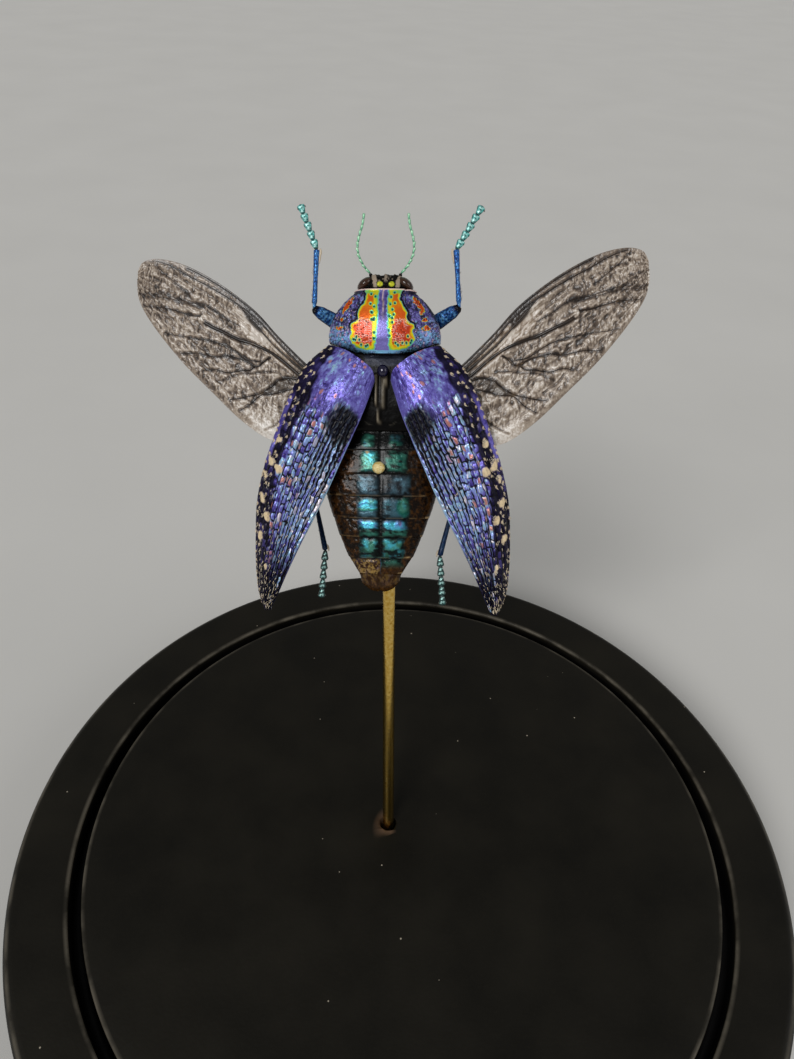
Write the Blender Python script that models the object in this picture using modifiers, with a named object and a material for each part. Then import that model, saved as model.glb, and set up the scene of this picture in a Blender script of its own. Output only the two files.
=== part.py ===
# Spread jewel beetle on a slanting brass rod, standing in a round black dome base.
#
# World frame: metres, +Z up, origin at the centre of the base's flat underside.
# The beetle has a frame of its own, with x to its right, y towards its head and z out of
# its back. It hangs on an empty that leans it back over the base. Its driving values are
# in millimetres and are scaled once, where the shapes are made.

import math

import bmesh
import bpy
from mathutils import Matrix, Vector

MM = 0.001
MERGE_DISTANCE = 0.01
SHARP_ANGLE_DEG = 40
BEETLE_EMPTY_SIZE = 10.0

# Base, in millimetres
BASE_RADIUS = 51.0
BASE_HEIGHT = 12.0
BASE_EDGE_ROUND = 1.4
BASE_EDGE_STEPS = 2
BASE_FOOT_CHAMFER = 0.8
GROOVE_OUTER_RADIUS = 43.5
GROOVE_INNER_RADIUS = 41.9
GROOVE_DEPTH = 3.5
GROOVE_EDGE_WEAR = 0.25
BASE_STEPS = 48

# Rod, in millimetres: where its axis leaves the top of the base, and which way it leans
ROD_RADIUS = 0.75
ROD_FOOT = Vector((-2.32, 0.76, BASE_HEIGHT))
ROD_DIRECTION = Vector((-0.050, 0.304, 0.951)).normalized()
ROD_SUNK = 7.0
ROD_REACH = 50.5
ROD_SIDES = 16
HOLE_GAP = 0.3
SOCKET_GAP = 0.2
# How far above the base the cut for the hole starts, and how far up the rod the cut for the socket
HOLE_CUT_START = 4
SOCKET_CUT_START = 20

# Where the beetle's origin hangs, in millimetres, and how it leans, in degrees
BEETLE_PLACE = Vector((-5.96, 20.77, 68.86))
BEETLE_TURN_DEG = (57.1, -3.8, -0.85)

# Cross-sections from front to rear: y, half width, height of the back, depth of the belly.
# The first and the last are points, and give y, nothing, z, nothing.
PRONOTUM_RINGS = (
    (9.75, 0.0, 0.2, 0.0),
    (9.70, 3.05, 1.75, 1.9),
    (9.35, 3.45, 2.15, 2.3),
    (8.45, 4.45, 2.75, 2.8),
    (7.45, 5.25, 3.15, 3.1),
    (6.45, 5.80, 3.40, 3.2),
    (5.35, 6.10, 3.50, 3.2),
    (4.45, 6.15, 3.50, 3.1),
    (3.95, 5.95, 3.40, 2.9),
    (3.45, 4.55, 3.30, 2.5),
    (2.95, 3.10, 3.15, 1.8),
    (2.70, 1.80, 3.00, 0.8),
    (2.65, 0.0, 2.2, 0.0),
)
HEAD_RINGS = (
    (11.50, 0.0, -0.6, 0.0),
    (11.42, 1.30, 0.55, 1.9),
    (11.10, 1.95, 1.00, 2.5),
    (10.65, 2.35, 1.30, 2.8),
    (10.20, 2.55, 1.45, 2.6),
    (9.92, 2.60, 1.50, 2.2),
    (9.86, 0.0, 0.2, 0.0),
)
THORAX_RINGS = (
    (2.35, 0.0, 0.6, 0.0),
    (2.40, 1.80, 1.90, 1.2),
    (2.62, 3.10, 1.90, 2.4),
    (3.10, 4.55, 1.80, 3.0),
    (3.30, 5.60, 1.40, 3.4),
    (2.30, 6.10, 1.75, 3.9),
    (0.20, 6.30, 1.95, 4.4),
    (-2.40, 6.45, 2.00, 4.7),
    (-4.60, 6.40, 1.75, 4.6),
    (-5.45, 5.90, 1.45, 4.2),
    (-5.05, 4.90, 0.95, 3.5),
    (-4.90, 0.0, 0.0, 0.0),
)
# Hip sockets that stand out of the underside: centre, half sizes, right side
FRONT_COXA = ((1.95, 4.75, -3.2), (0.85, 0.80, 1.05))
REAR_COXAE = (
    ((1.70, -0.60, -4.4), (0.85, 0.80, 1.0)),
    ((1.70, -4.30, -4.3), (0.85, 0.80, 1.0)),
)
COXA_SIDES = 8
COXA_RINGS = 6
ABDOMEN_SHIFT = -0.2
ABDOMEN_FRONT = (
    (-5.05, 0.0, 0.0, 0.0),
    (-5.20, 4.70, 0.80, 3.3),
    (-5.60, 5.75, 1.35, 4.0),
)
# Rear edge of each ring of the abdomen: y, half width, height, depth
ABDOMEN_EDGES = (
    (-7.50, 6.55, 1.75, 4.15),
    (-10.10, 6.75, 2.00, 4.20),
    (-12.60, 6.20, 1.95, 4.05),
    (-15.10, 5.40, 1.80, 3.70),
    (-17.20, 4.65, 1.60, 3.20),
    (-19.60, 3.60, 1.30, 2.50),
    (-21.40, 2.45, 1.00, 1.75),
)
ABDOMEN_TIP = (-23.60, 0.0, 0.0, 0.0)
# Where the rings that round off the tip lie, as fractions of the way from the last edge
ABDOMEN_TIP_STEPS = (0.5, 0.8, 0.95)
LEDGE = 0.14
LEDGE_LENGTH = 0.16
BODY_SIDES = 22
HEAD_SIDES = 14
BEAD_SIDES = 10
BEAD_RINGS = 6
SIDE_SQUARENESS = 0.82

# Eyes, scutellum and the fixing pin's head: centre and half sizes
EYE_PLACE = (2.30, 10.55, 0.25)
EYE_SIZE = (0.72, 0.60, 1.10)
EYE_GAP = 0.06
SCUTELLUM_PLACE = (0.0, 0.95, 2.68)
SCUTELLUM_SIZE = (0.62, 0.68, 0.62)
PIN_HEAD_PLACE = (-0.35, -9.4, 2.80)
PIN_HEAD_SIZE = (0.68, 0.68, 0.64)

# Antenna, right side: points of its curve, its thickness and its saw-like joints
ANTENNA_CURVE = (
    (1.70, 11.60, 0.30),
    (2.35, 12.35, 0.35),
    (2.90, 13.40, 0.40),
    (3.05, 14.40, 0.40),
    (2.90, 15.45, 0.35),
    (2.60, 16.55, 0.25),
    (2.45, 17.50, 0.15),
)
ANTENNA_JOINTS = 9
ANTENNA_RADIUS = 0.15
ANTENNA_NECK = 0.10
ANTENNA_SIDES = 5
# Fraction of the whole antenna where it is first at full neck width, and fractions of a joint
ANTENNA_START = 0.004
ANTENNA_WIDEST = 0.7
ANTENNA_JOINT_END = 0.98

# Wing case, right side, from its base to its tip: points of the seam edge and of the outer edge
ELYTRON_SEAM = (
    (0.85, -0.10),
    (1.90, -3.20),
    (3.20, -6.20),
    (4.50, -9.10),
    (5.80, -12.00),
    (7.20, -14.80),
    (8.80, -17.90),
    (10.30, -21.00),
    (11.40, -23.50),
    (12.30, -25.35),
)
ELYTRON_OUTER = (
    (6.10, 3.85),
    (8.60, 1.50),
    (10.30, -1.80),
    (11.75, -5.50),
    (13.05, -9.20),
    (13.95, -13.20),
    (14.20, -17.20),
    (14.20, -20.80),
    (13.90, -23.40),
    (13.05, -25.45),
)
# The front edge of the wing case, from the seam to the shoulder
ELYTRON_FRONT = (
    (0.85, -0.10),
    (1.10, 1.00),
    (2.05, 1.90),
    (3.30, 2.75),
    (4.60, 3.40),
    (6.10, 3.85),
)
# Height of the wing case along the seam, from base to tip
ELYTRON_HEIGHTS = (2.70, 3.40, 3.70, 3.70, 3.60, 3.40, 3.15, 2.90, 2.70)
# How high the wing case arches, how far towards the seam the arch leans, and how its outer edge drops
ELYTRON_CROWN = 0.95
ELYTRON_CROWN_LEAN = 0.85
ELYTRON_OUTER_DROP = 1.75
ELYTRON_DROP_POWER = 3
# The front edge's shape fades out with this power of the fraction that is left
ELYTRON_FRONT_FADE = 5
# The arch flattens over the last quarter of the length, down to this much of its square
ELYTRON_TAPER_RATE = 4
ELYTRON_TAPER_END = 0.15
ELYTRON_RIBS = 8
ELYTRON_RIB_HEIGHT = 0.11
ELYTRON_ROWS = 14
ELYTRON_THICKNESS = 0.32

# Hindwing, right side, from root to tip: points of the leading edge and of the trailing edge
HINDWING_LEADING = (
    (6.95, 0.40),
    (9.00, 2.20),
    (11.90, 5.10),
    (14.70, 8.10),
    (18.60, 11.00),
    (22.40, 13.00),
    (25.40, 13.75),
    (27.30, 13.45),
    (28.00, 12.40),
)
HINDWING_TRAILING = (
    (6.95, -4.60),
    (9.60, -6.60),
    (12.90, -6.75),
    (16.30, -4.60),
    (19.80, -1.25),
    (23.20, 2.20),
    (26.30, 6.10),
    (27.90, 8.90),
    (28.10, 10.90),
)
HINDWING_ROOT = (6.95, -1.0)
HINDWING_HEIGHT = 0.05
HINDWING_TIP_RISE = 0.5
HINDWING_PLEATS = 12
HINDWING_PLEAT_DEPTH = 0.2
# The pleats reach full depth over the first quarter of the length
HINDWING_PLEAT_RATE = 4
# The leading edge is a smooth rim this many pleats wide
HINDWING_RIM_PLEATS = 1.5
HINDWING_RIM_RISE = 0.3
HINDWING_COLUMNS = 12
HINDWING_THICKNESS = 0.16
# Each side's own length and swing, as the two wings were set by hand
HINDWING_REACH = {"left": 0.962, "right": 1.012}
HINDWING_SWING_DEG = {"left": -0.6, "right": 0.9}

# Hip, knee, ankle and toe of each leg
LEG_POINTS = {
    "front_left": ((-2.9, 5.2, -4.0), (-8.2, 8.1, -1.4), (-7.75, 14.4, -1.1), (-9.6, 19.2, -1.0)),
    "front_right": ((2.9, 5.2, -4.0), (8.2, 8.3, -1.4), (7.65, 14.4, -1.1), (10.4, 19.0, -1.0)),
    "middle_left": ((-2.65, -0.9, -5.0), (-7.2, -3.6, -6.4), (-9.2, -9.2, -7.6), (-10.0, -14.3, -7.8)),
    "middle_right": ((2.65, -0.9, -5.0), (7.2, -3.6, -6.4), (9.2, -9.2, -7.6), (10.0, -14.3, -7.8)),
    "hind_left": ((-2.65, -4.9, -4.95), (-9.5, -9.9, -5.3), (-7.15, -19.6, -4.2), (-7.6, -25.4, -4.0)),
    "hind_right": ((2.65, -4.9, -4.95), (9.1, -10.0, -5.3), (6.5, -20.0, -4.2), (6.95, -26.0, -4.0)),
}
JOINT_GAP = 0.12
# Fraction of the length, half width and half thickness of each leg piece's rings
FEMUR_RINGS = (
    (0.03, 0.45, 0.40),
    (0.25, 0.80, 0.70),
    (0.55, 0.88, 0.78),
    (0.85, 0.72, 0.66),
    (0.97, 0.46, 0.42),
)
TIBIA_RINGS = (
    (0.01, 0.18, 0.18),
    (0.07, 0.29, 0.27),
    (0.5, 0.24, 0.24),
    (0.9, 0.32, 0.29),
    (0.99, 0.34, 0.29),
)
FEMUR_SIDES = 10
TIBIA_SIDES = 8
TARSUS_SIDES = 7
TARSUS_JOINTS = 5
TARSUS_NECK = 0.17
TARSUS_LOBE = 0.50
TARSUS_THICKNESS = 0.24
# How much narrower each joint is than the one nearer the middle
TARSUS_LOBE_FALL = 0.06
# Fraction of the whole tarsus where it is first at full neck width, and fractions of a joint
TARSUS_START = 0.01
TARSUS_WIDEST = 0.72
TARSUS_JOINT_END = 0.97

# Colours in linear light, roughness and metallic value of each finish
FINISHES = {
    "black_painted_wood": ((0.012, 0.011, 0.010), 0.55, 0.0),
    "brass": ((0.56, 0.38, 0.12), 0.3, 1.0),
    "pale_yellow_bead": ((0.85, 0.72, 0.38), 0.4, 0.0),
    "black_head": ((0.03, 0.025, 0.02), 0.3, 0.2),
    "brown_eye": ((0.06, 0.03, 0.015), 0.15, 0.0),
    "mint_antenna": ((0.25, 0.55, 0.38), 0.35, 0.5),
    "painted_pronotum": ((0.42, 0.14, 0.18), 0.3, 0.5),
    "black_cuticle": ((0.01, 0.01, 0.012), 0.15, 0.2),
    "brown_cuticle": ((0.05, 0.035, 0.02), 0.3, 0.2),
    "teal_abdomen": ((0.03, 0.20, 0.20), 0.28, 0.7),
    "violet_elytron": ((0.11, 0.09, 0.45), 0.28, 0.7),
    "smoky_membrane": ((0.20, 0.16, 0.12), 0.25, 0.0),
    "blue_femur": ((0.02, 0.06, 0.30), 0.25, 0.7),
    "blue_tibia": ((0.03, 0.12, 0.42), 0.28, 0.7),
    "turquoise_tarsus": ((0.06, 0.42, 0.40), 0.3, 0.6),
}


def clear_scene():
    for leftover in list(bpy.data.objects):
        bpy.data.objects.remove(leftover, do_unlink=True)


def new_collection(name):
    collection = bpy.data.collections.new(name)
    bpy.context.scene.collection.children.link(collection)
    return collection


def finish_named(name):
    found = bpy.data.materials.get(name)
    if found:
        return found
    colour, roughness, metallic = FINISHES[name]
    made = bpy.data.materials.new(name)
    made.use_nodes = True
    shader = made.node_tree.nodes["Principled BSDF"]
    shader.inputs["Base Color"].default_value = (*colour, 1.0)
    shader.inputs["Roughness"].default_value = roughness
    shader.inputs["Metallic"].default_value = metallic
    made.diffuse_color = (*colour, 1.0)
    return made


def place_mesh(name, mesh, finish, collection, parent=None):
    piece = bpy.data.objects.new(name, mesh)
    piece.data.materials.append(finish_named(finish))
    piece.parent = parent
    collection.objects.link(piece)
    mesh.shade_smooth()
    mesh.set_sharp_from_angle(angle=math.radians(SHARP_ANGLE_DEG))
    return piece


def mesh_from(name, form):
    mesh = bpy.data.meshes.new(name)
    form.to_mesh(mesh)
    form.free()
    return mesh


def squared(value, power):
    return math.copysign(abs(value) ** power, value)


# A sphere whose rings are moved to given cross-sections. Each section holds its centre, its
# side and up directions, and its half width, rise and fall. The first and last are points.
def ringed_mesh(name, sections, sides, power=1.0):
    spans = len(sections) - 1
    form = bmesh.new()
    bmesh.ops.create_uvsphere(form, u_segments=sides, v_segments=spans, radius=1.0)
    for vert in form.verts:
        from_pole = math.acos(max(-1.0, min(1.0, -vert.co.z)))
        centre, side, up, width, rise, fall = sections[round(from_pole / math.pi * spans)]
        across = math.atan2(vert.co.y, vert.co.x)
        out = squared(math.cos(across), power) * width
        over = squared(math.sin(across), power)
        vert.co = (centre + side * out + up * over * (rise if over > 0 else fall)) * MM
    return mesh_from(name, form)


# Sections of a trunk that runs from front to rear, all upright and square to the beetle's y
def trunk_sections(rings, shift=0.0):
    side = Vector((1, 0, 0))
    up = Vector((0, 0, 1))
    sections = []
    for y, width, rise, fall in rings:
        if width:
            sections.append((Vector((shift, y, 0)), side, up, width, rise, fall))
        else:
            sections.append((Vector((shift, y, rise)), side, up, 0.0, 0.0, 0.0))
    return sections


# Sections along a path, square to it, with a half width and a half thickness at each point
def path_sections(points, widths, thicknesses):
    last = len(points) - 1
    sections = []
    for index, point in enumerate(points):
        ahead = (points[min(index + 1, last)] - points[max(index - 1, 0)]).normalized()
        side = Vector((0, 0, 1)).cross(ahead).normalized()
        up = ahead.cross(side)
        thick = thicknesses[index]
        sections.append((point, side, up, widths[index], thick, thick))
    return sections


# The point at fraction t of a smooth curve through points that are evenly spaced in t
def on_curve(points, t):
    spans = len(points) - 1
    place = min(max(t, 0.0), 1.0) * spans
    first = min(int(place), spans - 1)
    step = place - first
    start = Vector(points[first])
    end = Vector(points[first + 1])
    before = Vector(points[max(first - 1, 0)])
    after = Vector(points[min(first + 2, spans)])
    leave = (end - before) / 2
    arrive = (after - start) / 2
    cubic = 2 * (start - end) + leave + arrive
    square = 3 * (end - start) - 2 * leave - arrive
    return start + leave * step + square * step**2 + cubic * step**3


def cylinder_mesh(name, radius, start, end, sides):
    axis = end - start
    turn = Vector((0, 0, 1)).rotation_difference(axis).to_matrix().to_4x4()
    form = bmesh.new()
    bmesh.ops.create_cone(
        form,
        cap_ends=True,
        segments=sides,
        radius1=radius,
        radius2=radius,
        depth=axis.length,
        matrix=Matrix.Translation((start + end) / 2) @ turn,
    )
    return mesh_from(name, form)


def ellipsoid_mesh(name, centre, half_sizes, sides, rings):
    stretch = Matrix.Diagonal((*(Vector(half_sizes) * MM), 1.0))
    form = bmesh.new()
    bmesh.ops.create_uvsphere(
        form,
        u_segments=sides,
        v_segments=rings,
        radius=1.0,
        matrix=Matrix.Translation(Vector(centre) * MM) @ stretch,
    )
    return mesh_from(name, form)


# Cuts a helper shape out of a piece or, with the operation UNION, grows it onto the piece
def combine(piece, helper_mesh, cutters, parent=None, operation="DIFFERENCE"):
    helper = bpy.data.objects.new(helper_mesh.name, helper_mesh)
    helper.hide_render = True
    helper.display_type = "WIRE"
    helper.parent = parent
    cutters.objects.link(helper)
    step = piece.modifiers.new(helper.name, "BOOLEAN")
    step.operation = operation
    step.solver = "EXACT"
    step.object = helper


def grow_coxae(piece, coxae, cutters, parent):
    for number, ((x, y, z), half_sizes) in enumerate(coxae):
        for side, sign in (("left", -1), ("right", 1)):
            name = f"{piece.name}_coxa_{number}_{side}"
            bump = ellipsoid_mesh(name, (sign * x, y, z), half_sizes, COXA_SIDES, COXA_RINGS)
            combine(piece, bump, cutters, parent, "UNION")


# Base: a turned disc. Its profile runs from the middle of the top, out over the groove and
# the rounded edge, down the side and back under to the middle.
def base_profile():
    top = BASE_HEIGHT
    wear = GROOVE_EDGE_WEAR
    floor = top - GROOVE_DEPTH
    points = [
        (0.0, top),
        (GROOVE_INNER_RADIUS - wear, top),
        (GROOVE_INNER_RADIUS, top - wear),
        (GROOVE_INNER_RADIUS, floor),
        (GROOVE_OUTER_RADIUS, floor),
        (GROOVE_OUTER_RADIUS, top - wear),
        (GROOVE_OUTER_RADIUS + wear, top),
    ]
    for step in range(BASE_EDGE_STEPS + 1):
        angle = math.radians(90 * (1 - step / BASE_EDGE_STEPS))
        out = BASE_RADIUS - BASE_EDGE_ROUND + BASE_EDGE_ROUND * math.cos(angle)
        points.append((out, top - BASE_EDGE_ROUND + BASE_EDGE_ROUND * math.sin(angle)))
    points.append((BASE_RADIUS, BASE_FOOT_CHAMFER))
    points.append((BASE_RADIUS - BASE_FOOT_CHAMFER, 0.0))
    points.append((0.0, 0.0))
    return points


def make_base(parts, cutters):
    profile = bmesh.new()
    verts = [profile.verts.new((r * MM, 0, z * MM)) for r, z in base_profile()]
    for first, second in zip(verts, verts[1:]):
        profile.edges.new((first, second))
    base = bpy.data.objects.new("base", mesh_from("base", profile))
    base.data.materials.append(finish_named("black_painted_wood"))
    parts.objects.link(base)
    turn = base.modifiers.new("turned", "SCREW")
    turn.axis = "Z"
    turn.steps = BASE_STEPS
    turn.render_steps = BASE_STEPS
    turn.use_merge_vertices = True
    turn.merge_threshold = MERGE_DISTANCE * MM
    turn.use_smooth_shade = True
    sunk = ROD_FOOT - ROD_DIRECTION * (ROD_SUNK + HOLE_GAP)
    above = ROD_FOOT + ROD_DIRECTION * HOLE_CUT_START
    hole_radius = (ROD_RADIUS + HOLE_GAP) * MM
    hole = cylinder_mesh("rod_hole", hole_radius, sunk * MM, above * MM, ROD_SIDES)
    combine(base, hole, cutters)


def make_rod(parts):
    start = (ROD_FOOT - ROD_DIRECTION * ROD_SUNK) * MM
    end = (ROD_FOOT + ROD_DIRECTION * ROD_REACH) * MM
    rod = cylinder_mesh("brass_rod", ROD_RADIUS * MM, start, end, ROD_SIDES)
    place_mesh("brass_rod", rod, "brass", parts)


def make_pronotum(parts, cutters, beetle):
    mesh = ringed_mesh("pronotum", trunk_sections(PRONOTUM_RINGS), BODY_SIDES, SIDE_SQUARENESS)
    pronotum = place_mesh("pronotum", mesh, "painted_pronotum", parts, beetle)
    grow_coxae(pronotum, (FRONT_COXA,), cutters, beetle)


def make_thorax(parts, cutters, beetle):
    mesh = ringed_mesh("thorax", trunk_sections(THORAX_RINGS), BODY_SIDES, SIDE_SQUARENESS)
    thorax = place_mesh("thorax", mesh, "brown_cuticle", parts, beetle)
    grow_coxae(thorax, REAR_COXAE, cutters, beetle)


# Abdomen: each ring ends in a low ledge over the front of the next one
def abdomen_rings():
    rings = list(ABDOMEN_FRONT)
    for y, width, rise, fall in ABDOMEN_EDGES:
        rings.append((y, width, rise + LEDGE, fall + LEDGE))
        rings.append((y - LEDGE_LENGTH, width - LEDGE, rise - LEDGE, fall - LEDGE))
    y, width, rise, fall = ABDOMEN_EDGES[-1]
    tip = ABDOMEN_TIP[0]
    for part in ABDOMEN_TIP_STEPS:
        round_off = math.sqrt(1 - part**2)
        rings.append((y + (tip - y) * part, width * round_off, rise * round_off, fall * round_off))
    rings.append(ABDOMEN_TIP)
    return rings


def make_abdomen(parts, cutters, beetle):
    sections = trunk_sections(abdomen_rings(), ABDOMEN_SHIFT)
    mesh = ringed_mesh("abdomen", sections, BODY_SIDES, SIDE_SQUARENESS)
    abdomen = place_mesh("abdomen", mesh, "teal_abdomen", parts, beetle)
    below = (ROD_FOOT + ROD_DIRECTION * SOCKET_CUT_START) * MM
    inside = (ROD_FOOT + ROD_DIRECTION * (ROD_REACH + SOCKET_GAP)) * MM
    socket_radius = (ROD_RADIUS + SOCKET_GAP) * MM
    socket = cylinder_mesh("rod_socket", socket_radius, below, inside, ROD_SIDES)
    combine(abdomen, socket, cutters)


def make_head(parts, cutters, beetle):
    mesh = ringed_mesh("head", trunk_sections(HEAD_RINGS), HEAD_SIDES, SIDE_SQUARENESS)
    head = place_mesh("head", mesh, "black_head", parts, beetle)
    for side, sign in (("left", -1), ("right", 1)):
        x, y, z = EYE_PLACE
        centre = (sign * x, y, z)
        eye = ellipsoid_mesh("eye_" + side, centre, EYE_SIZE, BEAD_SIDES, BEAD_RINGS)
        place_mesh("eye_" + side, eye, "brown_eye", parts, beetle)
        room = [half + EYE_GAP for half in EYE_SIZE]
        orbit = ellipsoid_mesh("orbit_" + side, centre, room, BEAD_SIDES, BEAD_RINGS)
        combine(head, orbit, cutters, beetle)


def make_beads(parts, beetle):
    scutellum = ellipsoid_mesh("scutellum", SCUTELLUM_PLACE, SCUTELLUM_SIZE, BEAD_SIDES, BEAD_RINGS)
    place_mesh("scutellum", scutellum, "black_cuticle", parts, beetle)
    pin_head = ellipsoid_mesh("pin_head", PIN_HEAD_PLACE, PIN_HEAD_SIZE, BEAD_SIDES, BEAD_RINGS)
    place_mesh("pin_head", pin_head, "pale_yellow_bead", parts, beetle)


def make_antenna(side, sign, parts, beetle):
    curve = [(sign * x, y, z) for x, y, z in ANTENNA_CURVE]
    stops = [0.0, ANTENNA_START]
    radii = [0.0, ANTENNA_NECK]
    for joint in range(ANTENNA_JOINTS):
        stops.append((joint + ANTENNA_WIDEST) / ANTENNA_JOINTS)
        radii.append(ANTENNA_RADIUS)
        stops.append((joint + ANTENNA_JOINT_END) / ANTENNA_JOINTS)
        radii.append(ANTENNA_NECK)
    stops.append(1.0)
    radii.append(0.0)
    points = [on_curve(curve, stop) for stop in stops]
    mesh = ringed_mesh("antenna_" + side, path_sections(points, radii, radii), ANTENNA_SIDES)
    place_mesh("antenna_" + side, mesh, "mint_antenna", parts, beetle)


# A grid whose corners run from -1 to 1 is reshaped by a rule that takes two fractions. A
# left piece is the right one mirrored, so its faces are turned back to face outwards.
def sheet_mesh(name, columns, rows, rule, sign):
    form = bmesh.new()
    bmesh.ops.create_grid(form, x_segments=columns, y_segments=rows, size=1.0)
    for vert in form.verts:
        x, y, z = rule((vert.co.x + 1) / 2, (vert.co.y + 1) / 2)
        vert.co = Vector((sign * x, y, z)) * MM
    form.normal_update()
    if sum(face.normal.z for face in form.faces) < 0:
        bmesh.ops.reverse_faces(form, faces=form.faces)
    return mesh_from(name, form)


def elytron_point(across, along):
    seam = on_curve(ELYTRON_SEAM, along)
    outer = on_curve(ELYTRON_OUTER, along)
    flat = seam.lerp(outer, across)
    straight_front = Vector(ELYTRON_SEAM[0]).lerp(Vector(ELYTRON_OUTER[0]), across)
    flat += (on_curve(ELYTRON_FRONT, across) - straight_front) * (1 - along) ** ELYTRON_FRONT_FADE
    heights = [(height, 0.0) for height in ELYTRON_HEIGHTS]
    height = on_curve(heights, along).x
    taper = math.sqrt(min(1.0, (1 - along) * ELYTRON_TAPER_RATE + ELYTRON_TAPER_END))
    crown = ELYTRON_CROWN * math.sin(math.pi * across**ELYTRON_CROWN_LEAN)
    drop = ELYTRON_OUTER_DROP * across**ELYTRON_DROP_POWER
    rib = abs(((across * ELYTRON_RIBS) % 1.0) - 0.5) * 2 - 0.5
    z = height + (crown - drop) * taper + rib * 2 * ELYTRON_RIB_HEIGHT * taper
    return flat.x, flat.y, z


def make_elytron(side, sign, parts, beetle):
    name = "elytron_" + side
    mesh = sheet_mesh(name, ELYTRON_RIBS * 2, ELYTRON_ROWS, elytron_point, sign)
    elytron = place_mesh(name, mesh, "violet_elytron", parts, beetle)
    shell = elytron.modifiers.new("shell", "SOLIDIFY")
    shell.thickness = ELYTRON_THICKNESS * MM
    shell.offset = -1.0


def make_hindwing(side, sign, parts, beetle):
    swing = Matrix.Rotation(math.radians(HINDWING_SWING_DEG[side]), 2)
    root = Vector(HINDWING_ROOT)

    def hindwing_point(across, along):
        leading = on_curve(HINDWING_LEADING, along)
        trailing = on_curve(HINDWING_TRAILING, along)
        flat = leading.lerp(trailing, across)
        flat = root + swing @ (flat - root) * HINDWING_REACH[side]
        level = HINDWING_HEIGHT + HINDWING_TIP_RISE * along
        if across < HINDWING_RIM_PLEATS / HINDWING_PLEATS:
            return flat.x, flat.y, level + HINDWING_RIM_RISE * (1 - along)
        fold = 1 if round(across * HINDWING_PLEATS) % 2 else -1
        depth = HINDWING_PLEAT_DEPTH * min(1.0, along * HINDWING_PLEAT_RATE)
        return flat.x, flat.y, level + fold * depth

    name = "hindwing_" + side
    mesh = sheet_mesh(name, HINDWING_PLEATS, HINDWING_COLUMNS, hindwing_point, sign)
    wing = place_mesh(name, mesh, "smoky_membrane", parts, beetle)
    membrane = wing.modifiers.new("membrane", "SOLIDIFY")
    membrane.thickness = HINDWING_THICKNESS * MM
    membrane.offset = 0.0


def straight_piece(name, start, end, rings, sides, finish, parts, beetle):
    stops = [0.0] + [ring[0] for ring in rings] + [1.0]
    widths = [0.0] + [ring[1] for ring in rings] + [0.0]
    thicknesses = [0.0] + [ring[2] for ring in rings] + [0.0]
    points = [start.lerp(end, stop) for stop in stops]
    mesh = ringed_mesh(name, path_sections(points, widths, thicknesses), sides)
    place_mesh(name, mesh, finish, parts, beetle)


def tarsus_rings():
    rings = [(TARSUS_START, TARSUS_NECK, TARSUS_NECK)]
    middle = (TARSUS_JOINTS - 1) / 2
    for joint in range(TARSUS_JOINTS):
        lobe = TARSUS_LOBE * (1.0 - TARSUS_LOBE_FALL * abs(joint - middle))
        rings.append(((joint + TARSUS_WIDEST) / TARSUS_JOINTS, lobe, TARSUS_THICKNESS))
        rings.append(((joint + TARSUS_JOINT_END) / TARSUS_JOINTS, TARSUS_NECK, TARSUS_NECK))
    return rings


def make_leg(leg, parts, beetle):
    hip, knee, ankle, toe = [Vector(point) for point in LEG_POINTS[leg]]
    to_ankle = (ankle - knee).normalized()
    to_toe = (toe - ankle).normalized()
    knee_top = knee + to_ankle * (JOINT_GAP + FEMUR_RINGS[-1][2])
    ankle_top = ankle + to_toe * (JOINT_GAP + TIBIA_RINGS[-1][2])
    pieces = (
        ("femur", hip, knee, FEMUR_RINGS, FEMUR_SIDES, "blue_femur"),
        ("tibia", knee_top, ankle, TIBIA_RINGS, TIBIA_SIDES, "blue_tibia"),
        ("tarsus", ankle_top, toe, tarsus_rings(), TARSUS_SIDES, "turquoise_tarsus"),
    )
    for kind, start, end, rings, sides, finish in pieces:
        straight_piece(f"{leg}_{kind}", start, end, rings, sides, finish, parts, beetle)


def main():
    clear_scene()
    parts = new_collection("beetle_display")
    cutters = new_collection("cutters")
    make_base(parts, cutters)
    make_rod(parts)
    beetle = bpy.data.objects.new("beetle", None)
    beetle.empty_display_size = BEETLE_EMPTY_SIZE * MM
    beetle.location = BEETLE_PLACE * MM
    beetle.rotation_euler = [math.radians(angle) for angle in BEETLE_TURN_DEG]
    parts.objects.link(beetle)
    make_head(parts, cutters, beetle)
    make_pronotum(parts, cutters, beetle)
    make_thorax(parts, cutters, beetle)
    make_abdomen(parts, cutters, beetle)
    make_beads(parts, beetle)
    for side, sign in (("left", -1), ("right", 1)):
        make_antenna(side, sign, parts, beetle)
        make_elytron(side, sign, parts, beetle)
        make_hindwing(side, sign, parts, beetle)
    for leg in LEG_POINTS:
        make_leg(leg, parts, beetle)


main()
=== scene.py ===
import math

import bpy
import numpy as np
from mathutils import Euler, Matrix, Vector


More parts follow.
